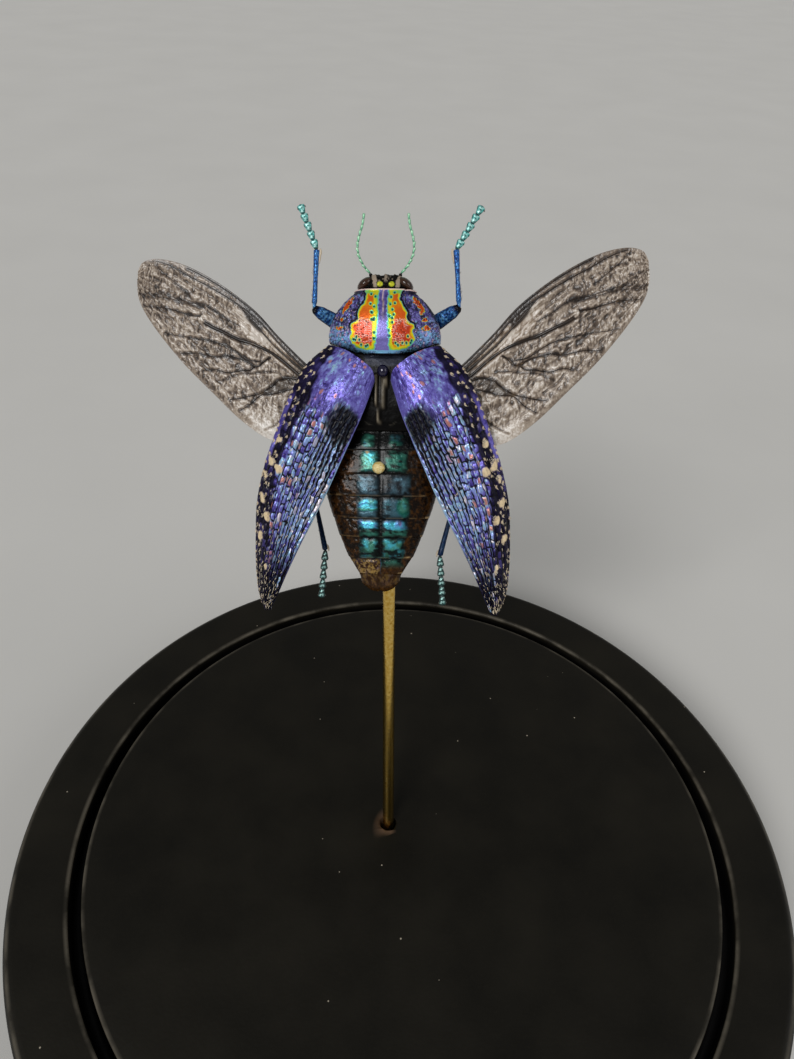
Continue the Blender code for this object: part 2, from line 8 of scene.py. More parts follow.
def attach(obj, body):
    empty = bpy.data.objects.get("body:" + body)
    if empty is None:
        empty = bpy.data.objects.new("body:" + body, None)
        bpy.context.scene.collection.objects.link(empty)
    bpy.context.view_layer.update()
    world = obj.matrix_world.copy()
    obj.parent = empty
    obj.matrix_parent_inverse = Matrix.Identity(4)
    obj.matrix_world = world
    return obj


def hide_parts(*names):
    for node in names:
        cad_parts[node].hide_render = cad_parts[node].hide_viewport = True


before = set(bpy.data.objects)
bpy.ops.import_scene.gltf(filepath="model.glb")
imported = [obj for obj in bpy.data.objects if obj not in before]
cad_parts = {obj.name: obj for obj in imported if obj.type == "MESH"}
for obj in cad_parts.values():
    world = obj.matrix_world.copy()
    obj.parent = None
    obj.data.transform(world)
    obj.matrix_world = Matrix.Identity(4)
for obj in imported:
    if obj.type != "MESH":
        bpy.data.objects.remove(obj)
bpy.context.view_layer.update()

# A spread jewel beetle on a brass rod in a round black base. Lengths here are in millimetres and
# are turned to metres when a mesh is made. The beetle has its own x to the right, y to the head
# and z out of its back.
mm = 0.001
sides = {"left": -1, "right": 1}
beetle = {"place": (-5.96, 20.77, 68.86), "turnDegrees": (57.1, -3.8, -0.85)}
beetleTurn = Euler([math.radians(angle) for angle in beetle["turnDegrees"]]).to_matrix()


def placed(points):  # beetle millimetres to world millimetres
    return np.asarray(points) @ np.array(beetleTurn).T + np.array(beetle["place"])


# Number helpers

def ease(low, high, value):  # 0 before low, 1 after high, smooth between
    t = np.clip((value - low) / (high - low), 0.0, 1.0)
    return t * t * (3 - 2 * t)


def blend(first, second, share):
    return first * (1 - share) + second * share


def onCurve(points, t):  # smooth curve through points evenly spaced in t
    points = np.asarray(points, float)
    spans = len(points) - 1
    spot = np.clip(np.asarray(t, float), 0.0, 1.0) * spans
    first = np.minimum(spot.astype(int), spans - 1)
    step = (spot - first)[..., None]
    start, end = points[first], points[first + 1]
    before, after = points[np.maximum(first - 1, 0)], points[np.minimum(first + 2, spans)]
    leave, arrive = (end - before) / 2, (after - start) / 2
    square = 3 * (end - start) - 2 * leave - arrive
    cubic = 2 * (start - end) + leave + arrive
    return start + leave * step + square * step**2 + cubic * step**3


def hashed(i, j, seed):  # an even scatter of numbers in 0..1, the same each run
    n = (i.astype(np.int64) * 374761393 + j.astype(np.int64) * 668265263 + seed * 144269504) & 0xFFFFFFFF
    n = ((n ^ (n >> 13)) * 1274126177) & 0xFFFFFFFF
    return ((n ^ (n >> 16)) & 0xFFFFFF) / 0xFFFFFF


def cloud(u, v, seed):  # smooth noise in 0..1 with cells of size 1
    i, j = np.floor(u), np.floor(v)
    fu, fv = ease(0, 1, u - i), ease(0, 1, v - j)
    near = blend(hashed(i, j, seed), hashed(i + 1, j, seed), fu)
    far = blend(hashed(i, j + 1, seed), hashed(i + 1, j + 1, seed), fu)
    return blend(near, far, fv)


def fineCloud(u, v, seed):  # three octaves
    return (cloud(u, v, seed) * 4 + cloud(u * 2.1, v * 2.1, seed + 1) * 2 + cloud(u * 4.3, v * 4.3, seed + 2)) / 7


def cells(u, v, seed, looseness=0.8):  # nearest and second nearest seed point, and that cell's number
    i, j = np.floor(u), np.floor(v)
    first, second = np.full(u.shape, 9.0), np.full(u.shape, 9.0)
    number = np.zeros(u.shape)
    for di in (-1, 0, 1):
        for dj in (-1, 0, 1):
            ci, cj = i + di, j + dj
            du = ci + 0.5 + (hashed(ci, cj, seed) - 0.5) * looseness - u
            dv = cj + 0.5 + (hashed(ci, cj, seed + 7) - 0.5) * looseness - v
            distance = np.hypot(du, dv)
            closer = distance < first
            second = np.where(closer, first, np.minimum(second, distance))
            number = np.where(closer, hashed(ci, cj, seed + 13), number)
            first = np.where(closer, distance, first)
    return first, second, number


def toLine(x, y, points):  # distance to a line of points, and how far along it
    best, share = np.full(np.shape(x), 99.0), np.zeros(np.shape(x))
    for index, ((ax, ay), (bx, by)) in enumerate(zip(points, points[1:])):
        t = np.clip(((x - ax) * (bx - ax) + (y - ay) * (by - ay)) / ((bx - ax)**2 + (by - ay)**2), 0, 1)
        distance = np.hypot(x - ax - t * (bx - ax), y - ay - t * (by - ay))
        share = np.where(distance < best, (index + t) / (len(points) - 1), share)
        best = np.minimum(best, distance)
    return best, share


def depthInside(x, y, corners):  # distance to a smooth outline, positive inside it
    ring = np.array(list(corners) + [corners[0]])
    ring = onCurve(ring, np.linspace(0, 1, 5 * len(ring)))
    inside = np.zeros(np.shape(x), bool)
    for (ax, ay), (bx, by) in zip(ring, ring[1:]):
        crosses = (ay > y) != (by > y)
        inside ^= crosses & (x < ax + (y - ay) * (bx - ax) / (by - ay if by != ay else 1e-9))
    return toLine(x, y, ring)[0] * np.where(inside, 1, -1)


def spot(x, y, centre, half, softness=0.35):  # an oval patch, 1 in the middle and 0 outside
    away = np.hypot((x - centre[0]) / half[0], (y - centre[1]) / half[1])
    return ease(1 + softness, 1 - softness, away)


# Mesh helpers: grids of points become closed pieces

def gridNormals(grid, closed=False):
    if closed:
        across = np.roll(grid, -1, 1) - np.roll(grid, 1, 1)
    else:
        across = np.gradient(grid, axis=1)
    normal = np.cross(across, np.gradient(grid, axis=0))
    return normal / np.maximum(np.linalg.norm(normal, axis=-1, keepdims=True), 1e-9)


def quads(rows, columns, closed, start=0):
    number = np.arange(rows * columns).reshape(rows, columns) + start
    if closed:
        number = np.hstack([number, number[:, :1]])
    return np.stack([number[:-1, :-1], number[1:, :-1], number[1:, 1:], number[:-1, 1:]], -1).reshape(-1, 4)


def ringBody(grid):  # rings with a pole at each end: points and faces
    rows, columns = grid.shape[:2]
    points = np.vstack([grid.reshape(-1, 3), grid[0].mean(0), grid[-1].mean(0)])
    faces = quads(rows, columns, True).tolist()
    last = (rows - 1) * columns
    for j in range(columns):
        after = (j + 1) % columns
        faces.append([rows * columns, j, after])
        faces.append([rows * columns + 1, last + after, last + j])
    return points, faces


def sheetBody(top, bottom, step=1):  # two grids joined round their edge; the lower may be coarser by step
    rows, columns = top.shape[:2]
    lower = bottom[::step, ::step]
    count = rows * columns
    fine = np.arange(count).reshape(rows, columns)
    coarse = np.arange(lower.shape[0] * lower.shape[1]).reshape(lower.shape[:2]) + count
    around = [np.concatenate([n[0], n[1:, -1], n[-1, -2::-1], n[-2::-1, 0]]) for n in (fine, coarse)]
    faces = quads(rows, columns, False).tolist() + quads(*lower.shape[:2], False, count)[:, ::-1].tolist()
    for k in range(len(around[1]) - 1):
        faces.append(around[0][k * step:(k + 1) * step + 1].tolist() + [around[1][k + 1], around[1][k]])
    return np.vstack([top.reshape(-1, 3), lower.reshape(-1, 3)]), faces


def joined(bodies):  # several (points, faces, masks) as one
    points, faces, masks, start = [], [], {}, 0
    labels = {label for body in bodies for label in body[2]}
    for body in bodies:
        points.append(body[0])
        faces += [[number + start for number in face] for face in body[1]]
        start += len(body[0])
    for label in labels:
        masks[label] = np.concatenate([np.broadcast_to(b[2].get(label, 0.0), len(b[0])) for b in bodies])
    return np.vstack(points), faces, masks


def addMesh(name, points, faces, masks, material):
    three = np.array([face[:3] for face in faces])
    four = np.array([[face[0], face[2], face[-1]] for face in faces])  # second half of a four-sided face
    volume = 0
    for corners in (three, four):
        a, b, c = points[corners[:, 0]], points[corners[:, 1]], points[corners[:, 2]]
        volume += np.einsum("ij,ij->i", a - points.mean(0), np.cross(b - points.mean(0), c - points.mean(0))).sum()
    if volume < 0:
        faces = [face[::-1] for face in faces]
    mesh = bpy.data.meshes.new(name)
    mesh.from_pydata((points * mm).tolist(), [], faces)
    mesh.update()
    mesh.shade_smooth()
    for label, values in masks.items():
        layer = mesh.attributes.new(label, "FLOAT", "POINT")
        layer.data.foreach_set("value", np.ascontiguousarray(values, np.float32).ravel())
    mesh.materials.append(material)
    piece = bpy.data.objects.new(name, mesh)
    bpy.context.scene.collection.objects.link(piece)
    return piece


def finishPiece(piece, slot, *nodes):
    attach(piece, "root")
    if nodes:
        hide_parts(*nodes)
    return piece


def trunk(rings, rows, columns, topShare=0.5):
    # rings hold y, half width, rise and fall; the first and last are points: y, 0, z, 0
    table = [(y, w, rise, fall, 0) if w else (y, 0, 0, 0, rise) for y, w, rise, fall in rings]
    y, wide, rise, fall, middle = onCurve(table, np.linspace(0, 1, rows + 2)[1:-1]).T
    out, over = roundSection(columns, topShare)
    x = np.outer(wide, out)
    z = middle[:, None] + np.where(over > 0, np.outer(rise, over), np.outer(fall, over))
    return np.stack([x, np.broadcast_to(y[:, None], x.shape), z], -1)


def roundSection(columns, topShare):  # a squarish circle with topShare of its points on the upper half
    top = int(columns * topShare)
    angle = np.concatenate([np.linspace(0, math.pi, top, endpoint=False),
                            np.linspace(math.pi, 2 * math.pi, columns - top, endpoint=False)])
    return [np.sign(part) * np.abs(part)**0.82 for part in (np.cos(angle), np.sin(angle))]


def lifted(grid, height, closed=True):  # moves points out along the surface by height
    normal = gridNormals(grid, closed)
    middle = grid.reshape(-1, 3).mean(0)
    if closed and np.einsum("ijk,ijk->", normal, grid - middle) < 0:
        normal = -normal
    if not closed and normal[..., 2].sum() < 0:
        normal = -normal
    return grid + normal * height[..., None]


def limb(path, widths, thicknesses, columns, up=(0, 0, 1)):  # a tube along a path, with oval sections
    path = np.asarray(path, float)
    ahead = np.gradient(path, axis=0)
    ahead /= np.linalg.norm(ahead, axis=1, keepdims=True)
    side = np.cross(np.array(up, float), ahead)
    side /= np.linalg.norm(side, axis=1, keepdims=True)
    over = np.cross(ahead, side)
    angle = np.linspace(0, 2 * math.pi, columns, endpoint=False)[None, :, None]
    wide, thick = np.asarray(widths)[:, None, None], np.asarray(thicknesses)[:, None, None]
    return path[:, None] + side[:, None] * np.cos(angle) * wide + over[:, None] * np.sin(angle) * thick


def oval(centre, half, columns=32, rows=20):  # an egg shape
    t = np.linspace(0, math.pi, rows + 2)[1:-1]
    angle = np.linspace(0, 2 * math.pi, columns, endpoint=False)
    unit = np.stack([np.outer(np.sin(t), np.cos(angle)), np.outer(np.sin(t), np.sin(angle)),
                     np.broadcast_to(np.cos(t)[:, None], (rows, columns))], -1)
    return unit * np.array(half) + np.array(centre)


# Node helpers

def linear(code):  # an sRGB hex value to linear light
    parts = [int(code[i:i + 2], 16) / 255 for i in (1, 3, 5)]
    return (*[p / 12.92 if p <= 0.04045 else ((p + 0.055) / 1.055)**2.4 for p in parts], 1.0)


def addNode(tree, kind, inputs=None, stops=None, **settings):
    node = tree.nodes.new(kind)
    for key, value in settings.items():
        setattr(node, key, value)
    for key, value in (inputs or {}).items():
        if isinstance(value, bpy.types.NodeSocket):
            tree.links.new(value, node.inputs[key])
        else:
            node.inputs[key].default_value = linear(value) if str(value).startswith("#") else value
    if stops:
        elements = node.color_ramp.elements
        while len(elements) < len(stops):
            elements.new(0.5)
        for element, (spotAt, code) in zip(elements, stops):
            element.position = spotAt
            element.color = linear(code)
    return node


def newMaterial(name):
    material = bpy.data.materials.new(name)
    material.use_nodes = True
    material.node_tree.nodes.clear()
    return material, material.node_tree


def inMillimetres(tree):  # object coordinates in millimetres, so that a scale of 1 / size fits a real size
    place = addNode(tree, "ShaderNodeTexCoord").outputs["Object"]
    return addNode(tree, "ShaderNodeVectorMath", {0: place, 3: 1 / mm}, operation="SCALE").outputs[0]


def mask(tree, name):
    return addNode(tree, "ShaderNodeAttribute", attribute_name=name).outputs["Fac"]


def mixed(tree, share, first, second):
    return addNode(tree, "ShaderNodeMix", {0: share, 6: first, 7: second}, data_type="RGBA").outputs[2]


def remap(tree, value, low, high, toLow=0.0, toHigh=1.0):
    return addNode(tree, "ShaderNodeMapRange", {0: value, 1: low, 2: high, 3: toLow, 4: toHigh}).outputs[0]


def finishMaterial(tree, inputs, height=None, bumpMm=0.02):
    if height is not None:
        bump = addNode(tree, "ShaderNodeBump", {"Height": height, "Distance": bumpMm * mm, "Strength": 1.0})
        inputs = {**inputs, "Normal": bump.outputs[0]}
    shader = addNode(tree, "ShaderNodeBsdfPrincipled", inputs)
    addNode(tree, "ShaderNodeOutputMaterial", {"Surface": shader.outputs[0]})


# Materials

def paintedWood(cfg):  # turned wood under matte black paint: warm black, brown with wear on the groove's edges and the rim, where a painted highlight adds to it, and painted shade deep in the groove
    material, tree = newMaterial("matteBlackPaintedWood")
    place = inMillimetres(tree)
    flat = addNode(tree, "ShaderNodeVectorMath", {0: place, 1: (1, 1, 0)}, operation="MULTIPLY").outputs[0]
    radius = addNode(tree, "ShaderNodeVectorMath", {0: flat}, operation="LENGTH").outputs[1]
    broad = addNode(tree, "ShaderNodeTexNoise", {"Vector": place, "Scale": 1 / 9, "Detail": 5.0}).outputs["Fac"]
    fine = addNode(tree, "ShaderNodeTexNoise", {"Vector": place, "Scale": 1 / 0.5, "Detail": 3.0}).outputs["Fac"]
    colour = addNode(tree, "ShaderNodeValToRGB", {"Fac": broad},
                     stops=[(0.3, cfg["paint"]), (0.75, cfg["fadedPaint"])]).outputs[0]
    colour = mixed(tree, remap(tree, fine, 0.55, 0.8, 0.0, 0.5), colour, cfg["fadedPaint"])
    wearAndHighlight = None
    # the groove's lips and the outer rim go lighter: wear together with a painted highlight on their rounded edges
    for edge in (cfg["grooveInner"], cfg["grooveOuter"], cfg["radius"] - 0.4):
        near = addNode(tree, "ShaderNodeMath", {0: radius, 1: edge}, operation="SUBTRACT").outputs[0]
        near = addNode(tree, "ShaderNodeMath", {0: near}, operation="ABSOLUTE").outputs[0]
        near = remap(tree, near, 0.55, 0.05)
        wearAndHighlight = near if wearAndHighlight is None else addNode(tree, "ShaderNodeMath", {0: wearAndHighlight, 1: near}, operation="MAXIMUM").outputs[0]
    rub = addNode(tree, "ShaderNodeTexNoise", {"Vector": place, "Scale": 1 / 3.5, "Detail": 4.0}).outputs["Fac"]
    wearAndHighlight = addNode(tree, "ShaderNodeMath", {0: wearAndHighlight, 1: remap(tree, rub, 0.38, 0.62, 0.15, 0.75)},
                   operation="MULTIPLY").outputs[0]
    above = addNode(tree, "ShaderNodeSeparateXYZ", {0: place}).outputs[2]
    above = remap(tree, above, cfg["height"] - 0.6, cfg["height"] - 0.25)
    wearAndHighlight = addNode(tree, "ShaderNodeMath", {0: wearAndHighlight, 1: above}, operation="MULTIPLY").outputs[0]
    colour = mixed(tree, wearAndHighlight, colour, cfg["wornEdgeAndHighlight"])
    # painted shade: near black down inside the groove
    colour = mixed(tree, mask(tree, "grooveShade"), colour, cfg["grooveShadeBlack"])
    colour = mixed(tree, mask(tree, "raw"), colour, cfg["rawWood"])
    dust = addNode(tree, "ShaderNodeTexVoronoi", {"Vector": place, "Scale": 1 / 2.6}).outputs
    chosen = addNode(tree, "ShaderNodeSeparateColor", {0: dust["Color"]}).outputs[0]
    speck = addNode(tree, "ShaderNodeMath", {0: dust["Distance"], 1: remap(tree, chosen, 0.45, 1.0, 0.0, 0.045)},
                    operation="LESS_THAN").outputs[0]
    colour = mixed(tree, speck, colour, cfg["dust"])
    rough = remap(tree, broad, 0.3, 0.7, 0.42, 0.6)
    finishMaterial(tree, {"Base Color": colour, "Roughness": rough, "Specular IOR Level": 0.22}, fine, 0.03)
    return material


def drawnBrass(cfg):  # drawn brass rod: yellow metal with fine specks of tarnish
    material, tree = newMaterial("drawnBrass")
    place = inMillimetres(tree)
    specks = addNode(tree, "ShaderNodeTexNoise", {"Vector": place, "Scale": 1 / 0.35, "Detail": 4.0}).outputs["Fac"]
    colour = addNode(tree, "ShaderNodeValToRGB", {"Fac": specks},
                     stops=[(0.2, cfg["tarnish"]), (0.36, cfg["brass"]), (0.75, cfg["bright"])]).outputs[0]
    rough = remap(tree, specks, 0.35, 0.65, 0.24, 0.16)
    finishMaterial(tree, {"Base Color": colour, "Metallic": 1.0, "Roughness": rough}, specks, 0.012)
    return material


def enamelBead(cfg):  # enamelled pin head: pale yellow, soft gloss
    material, tree = newMaterial("paleYellowEnamel")
    place = inMillimetres(tree)
    cloudy = addNode(tree, "ShaderNodeTexNoise", {"Vector": place, "Scale": 1 / 0.3, "Detail": 3.0}).outputs["Fac"]
    colour = addNode(tree, "ShaderNodeValToRGB", {"Fac": cloudy},
                     stops=[(0.35, cfg["shade"]), (0.6, cfg["enamel"])]).outputs[0]
    finishMaterial(tree, {"Base Color": colour, "Roughness": 0.4, "Coat Weight": 0.3, "Coat Roughness": 0.2},
                   cloudy, 0.02)
    return material


# Beetle cuticle is chitin in thin layers. The mask "film" stands for their thickness and picks the
# metallic colour, "dark" is the black between, "copper" and "pale" are the scattered scales.
# In some parts these masks also carry painted light and shade, said where they are made.
def layeredCuticle(name, cfg):
    material, tree = newMaterial(name)
    place = inMillimetres(tree)
    drift = addNode(tree, "ShaderNodeTexNoise", {"Vector": place, "Scale": 1 / cfg["driftMm"], "Detail": 4.0})
    film = addNode(tree, "ShaderNodeMath", {0: remap(tree, drift.outputs["Fac"], 0.2, 0.8, -0.5, 0.5),
                                            1: cfg["drift"], 2: mask(tree, "film")}, operation="MULTIPLY_ADD")
    colour = addNode(tree, "ShaderNodeValToRGB", {"Fac": film.outputs[0]}, stops=cfg["layers"]).outputs[0]
    grain = addNode(tree, "ShaderNodeTexNoise", {"Vector": place, "Scale": 1 / cfg["grainMm"], "Detail": 3.0})
    grain = grain.outputs["Fac"]
    shade = remap(tree, grain, 0.3, 0.62, cfg["grainDark"], 0.0)
    dark = mask(tree, "dark")
    if "pitMm" in cfg:  # punctures, as far apart as in the real cuticle
        warp = addNode(tree, "ShaderNodeVectorMath", {0: drift.outputs["Color"], 3: 0.5}, operation="SCALE")
        warp = addNode(tree, "ShaderNodeVectorMath", {0: place, 1: warp.outputs[0]}, operation="ADD").outputs[0]
        holes = addNode(tree, "ShaderNodeTexVoronoi", {"Vector": warp, "Scale": 1 / cfg["pitMm"]}).outputs["Distance"]
        holes = addNode(tree, "ShaderNodeMath", {0: remap(tree, holes, 0.36, 0.2), 1: mask(tree, "pits")},
                        operation="MULTIPLY").outputs[0]
        dark = addNode(tree, "ShaderNodeMath", {0: dark, 1: holes}, operation="MAXIMUM").outputs[0]
        grain = addNode(tree, "ShaderNodeMath", {0: holes, 1: -1.5, 2: grain}, operation="MULTIPLY_ADD").outputs[0]
    colour = mixed(tree, shade, colour, cfg["black"])
    colour = mixed(tree, mask(tree, "copper"), colour, cfg.get("copper", "#c48674"))
    colour = mixed(tree, mask(tree, "pale"), colour, cfg.get("pale", "#e8d8b8"))
    colour = mixed(tree, dark, colour, cfg["black"])
    dull = addNode(tree, "ShaderNodeMath", {0: mask(tree, "pale"), 1: dark}, operation="MAXIMUM").outputs[0]
    metal = remap(tree, dull, 0.0, 1.0, cfg["metal"], 0.0)
    rough = remap(tree, grain, 0.3, 0.7, cfg["rough"] + 0.08, cfg["rough"] - 0.06)
    finishMaterial(tree, {"Base Color": colour, "Metallic": metal, "Roughness": rough,
                          "Specular IOR Level": cfg.get("specular", 0.12), "Coat Weight": cfg.get("coat", 0.04),
                          "Coat Roughness": 0.12}, grain, cfg["bumpMm"])
    return material


def wingMembrane(cfg):  # dry wing membrane: smoky, see-through, crumpled like cellophane
    material, tree = newMaterial("dryWingMembrane")
    place = inMillimetres(tree)
    mottle = addNode(tree, "ShaderNodeTexNoise", {"Vector": place, "Scale": 1 / 0.2, "Detail": 3.0}).outputs["Fac"]
    # painted glints: small cream sparkles on random cells, standing in for light catching the crumpled membrane
    glintCells = addNode(tree, "ShaderNodeTexVoronoi", {"Vector": place, "Scale": 1 / 0.24}).outputs
    chosen = addNode(tree, "ShaderNodeSeparateColor", {0: glintCells["Color"]}).outputs[0]
    fleck = addNode(tree, "ShaderNodeMath", {0: remap(tree, glintCells["Distance"], 0.38, 0.15),
                                             1: remap(tree, chosen, 0.62, 0.9, 0.0, cfg["fleck"])}, operation="MULTIPLY")
    shade = addNode(tree, "ShaderNodeMath", {0: remap(tree, mottle, 0.25, 0.75, -0.5, 0.5), 1: 0.3,
                                             2: mask(tree, "tone")}, operation="MULTIPLY_ADD").outputs[0]
    shade = addNode(tree, "ShaderNodeMath", {0: shade, 1: fleck.outputs[0]}, operation="ADD").outputs[0]
    colour = addNode(tree, "ShaderNodeValToRGB", {"Fac": shade}, stops=cfg["tones"]).outputs[0]
    colour = mixed(tree, mask(tree, "amber"), colour, cfg["amber"])
    colour = mixed(tree, mask(tree, "dark"), colour, cfg["cell"])
    finishMaterial(tree, {"Base Color": colour, "Roughness": remap(tree, mottle, 0.3, 0.7, 0.4, 0.22),
                          "Alpha": cfg["cover"], "Specular IOR Level": 0.7}, shade, 0.04)
    return material


def wingVein(cfg):  # wing vein: dark brown chitin tube, paler along its top
    material, tree = newMaterial("wingVeinChitin")
    place = inMillimetres(tree)
    streak = addNode(tree, "ShaderNodeTexNoise", {"Vector": place, "Scale": 1 / 0.9, "Detail": 3.0}).outputs["Fac"]
    colour = addNode(tree, "ShaderNodeValToRGB", {"Fac": streak}, stops=cfg["veinTones"]).outputs[0]
    finishMaterial(tree, {"Base Color": colour, "Roughness": 0.3}, streak, 0.02)
    return material


def seta(name, cfg):  # stiff hair: cream, a little glossy
    material, tree = newMaterial(name)
    place = inMillimetres(tree)
    tone = addNode(tree, "ShaderNodeTexNoise", {"Vector": place, "Scale": 1 / 0.7, "Detail": 2.0}).outputs["Fac"]
    colour = addNode(tree, "ShaderNodeValToRGB", {"Fac": tone}, stops=cfg).outputs[0]
    finishMaterial(tree, {"Base Color": colour, "Roughness": 0.45})
    return material


# Geometry Nodes trees

def treeWith(name, sockets):
    tree = bpy.data.node_groups.new(name, "GeometryNodeTree")
    tree.interface.new_socket("Geometry", in_out="INPUT", socket_type="NodeSocketGeometry")
    for label, kind in sockets:
        tree.interface.new_socket(label, in_out="INPUT", socket_type=kind)
    tree.interface.new_socket("Geometry", in_out="OUTPUT", socket_type="NodeSocketGeometry")
    return tree, addNode(tree, "NodeGroupInput").outputs


def bristleTree():  # a thin cone on every guide point, along its "aim" and "size"
    tree, given = treeWith("bristles", [("Thickness", "NodeSocketFloat"), ("Spread", "NodeSocketFloat"),
                                        ("Seed", "NodeSocketInt"), ("Finish", "NodeSocketMaterial")])
    tipSize = addNode(tree, "ShaderNodeMath", {0: given["Thickness"], 1: 0.25}, operation="MULTIPLY").outputs[0]
    cone = addNode(tree, "GeometryNodeMeshCone", {"Vertices": 5, "Side Segments": 2, "Radius Top": tipSize,
                                                  "Radius Bottom": given["Thickness"], "Depth": 1.0})
    aim = addNode(tree, "GeometryNodeInputNamedAttribute", {"Name": "aim"}, data_type="FLOAT_VECTOR").outputs[0]
    size = addNode(tree, "GeometryNodeInputNamedAttribute", {"Name": "size"}, data_type="FLOAT").outputs[0]
    stray = addNode(tree, "FunctionNodeRandomValue", {0: (-1, -1, -1), 1: (1, 1, 1), "Seed": given["Seed"]},
                    data_type="FLOAT_VECTOR").outputs[0]
    stray = addNode(tree, "ShaderNodeVectorMath", {0: stray, 3: given["Spread"]}, operation="SCALE").outputs[0]
    way = addNode(tree, "ShaderNodeVectorMath", {0: aim, 1: stray}, operation="ADD").outputs[0]
    turn = addNode(tree, "FunctionNodeAlignRotationToVector", {"Vector": way}, axis="Z").outputs[0]
    scale = addNode(tree, "ShaderNodeCombineXYZ", {0: 1.0, 1: 1.0, 2: size}).outputs[0]
    made = addNode(tree, "GeometryNodeInstanceOnPoints", {"Points": given["Geometry"], "Instance": cone.outputs[0],
                                                          "Rotation": turn, "Scale": scale}).outputs[0]
    made = addNode(tree, "GeometryNodeRealizeInstances", {0: made}).outputs[0]
    made = addNode(tree, "GeometryNodeSetMaterial", {0: made, "Material": given["Finish"]}).outputs[0]
    addNode(tree, "NodeGroupOutput", {0: made})
    return tree


def jointTree():  # copies of a joint along a line of points, each turned so that its x follows "side"
    tree, given = treeWith("joints", [("Joint", "NodeSocketObject"), ("Count", "NodeSocketInt"),
                                      ("First Size", "NodeSocketFloat"), ("Last Size", "NodeSocketFloat"),
                                      ("Finish", "NodeSocketMaterial")])
    line = addNode(tree, "GeometryNodeMeshToCurve", {"Mesh": given["Geometry"]}).outputs[0]
    dots = addNode(tree, "GeometryNodeCurveToPoints", {"Curve": line, "Count": given["Count"]}, mode="COUNT").outputs
    turn = addNode(tree, "FunctionNodeAlignRotationToVector", {"Vector": dots["Tangent"]}, axis="Z").outputs[0]
    across = addNode(tree, "GeometryNodeInputNamedAttribute", {"Name": "side"}, data_type="FLOAT_VECTOR").outputs[0]
    turn = addNode(tree, "FunctionNodeAlignRotationToVector", {"Rotation": turn, "Vector": across},
                   axis="X", pivot_axis="Z").outputs[0]
    number = addNode(tree, "GeometryNodeInputIndex").outputs[0]
    last = addNode(tree, "ShaderNodeMath", {0: given["Count"], 1: 1.0}, operation="SUBTRACT").outputs[0]
    size = addNode(tree, "ShaderNodeMapRange", {0: number, 1: 0.0, 2: last, 3: given["First Size"],
                                                4: given["Last Size"]}).outputs[0]
    joint = addNode(tree, "GeometryNodeObjectInfo", {"Object": given["Joint"]}).outputs["Geometry"]
    made = addNode(tree, "GeometryNodeInstanceOnPoints", {"Points": dots["Points"], "Instance": joint,
                                                          "Rotation": turn, "Scale": size}).outputs[0]
    made = addNode(tree, "GeometryNodeRealizeInstances", {0: made}).outputs[0]
    made = addNode(tree, "GeometryNodeSetMaterial", {0: made, "Material": given["Finish"]}).outputs[0]
    addNode(tree, "NodeGroupOutput", {0: made})
    return tree


def veinTree():  # a round tube along every line of points, as thick as its "thick"
    tree, given = treeWith("veins", [("Sides", "NodeSocketInt"), ("Finish", "NodeSocketMaterial")])
    line = addNode(tree, "GeometryNodeMeshToCurve", {"Mesh": given["Geometry"]}).outputs[0]
    ring = addNode(tree, "GeometryNodeCurvePrimitiveCircle", {"Resolution": given["Sides"], "Radius": 1.0}).outputs[0]
    thick = addNode(tree, "GeometryNodeInputNamedAttribute", {"Name": "thick"}, data_type="FLOAT").outputs[0]
    made = addNode(tree, "GeometryNodeCurveToMesh", {"Curve": line, "Profile Curve": ring, "Scale": thick,
                                                     "Fill Caps": True}).outputs[0]
    made = addNode(tree, "GeometryNodeSetShadeSmooth", {0: made}).outputs[0]
    made = addNode(tree, "GeometryNodeRealizeInstances", {0: made}).outputs[0]
    made = addNode(tree, "GeometryNodeSetMaterial", {0: made, "Material": given["Finish"]}).outputs[0]
    addNode(tree, "NodeGroupOutput", {0: made})
    return tree


def grown(name, guide, tree, values):  # runs a tree on a guide object and keeps the result as a plain mesh
    step = guide.modifiers.new(name, "NODES")
    step.node_group = tree
    for item in tree.interface.items_tree:
        if item.in_out == "INPUT" and item.name in values:
            step[item.identifier] = values[item.name]
    graph = bpy.context.evaluated_depsgraph_get()
    mesh = bpy.data.meshes.new_from_object(guide.evaluated_get(graph), depsgraph=graph)
    mesh.name = name
    bpy.data.objects.remove(guide)
    piece = bpy.data.objects.new(name, mesh)
    bpy.context.scene.collection.objects.link(piece)
    return piece


def guideObject(name, points, edges, vectors, numbers):  # bare points or lines with their attributes
    mesh = bpy.data.meshes.new(name)
    mesh.from_pydata((np.asarray(points) * mm).tolist(), edges, [])
    for label, values in vectors.items():
        mesh.attributes.new(label, "FLOAT_VECTOR", "POINT").data.foreach_set(
            "vector", np.ascontiguousarray(values, np.float32).ravel())
    for label, values in numbers.items():
        mesh.attributes.new(label, "FLOAT", "POINT").data.foreach_set(
            "value", np.ascontiguousarray(values, np.float32).ravel())
    guide = bpy.data.objects.new(name, mesh)
    bpy.context.scene.collection.objects.link(guide)
    return guide


trees = {"bristles": bristleTree(), "joints": jointTree(), "veins": veinTree()}


def growBristles(name, points, aims, sizes, finish, thicknessMm, spread, seed):
    turned = np.asarray(aims) @ np.array(beetleTurn).T
    guide = guideObject(name + "Guide", placed(points), [], {"aim": turned}, {"size": np.asarray(sizes) * mm})
    return grown(name, guide, trees["bristles"], {"Thickness": thicknessMm * mm, "Spread": spread, "Seed": seed,
                                                  "Finish": finish})


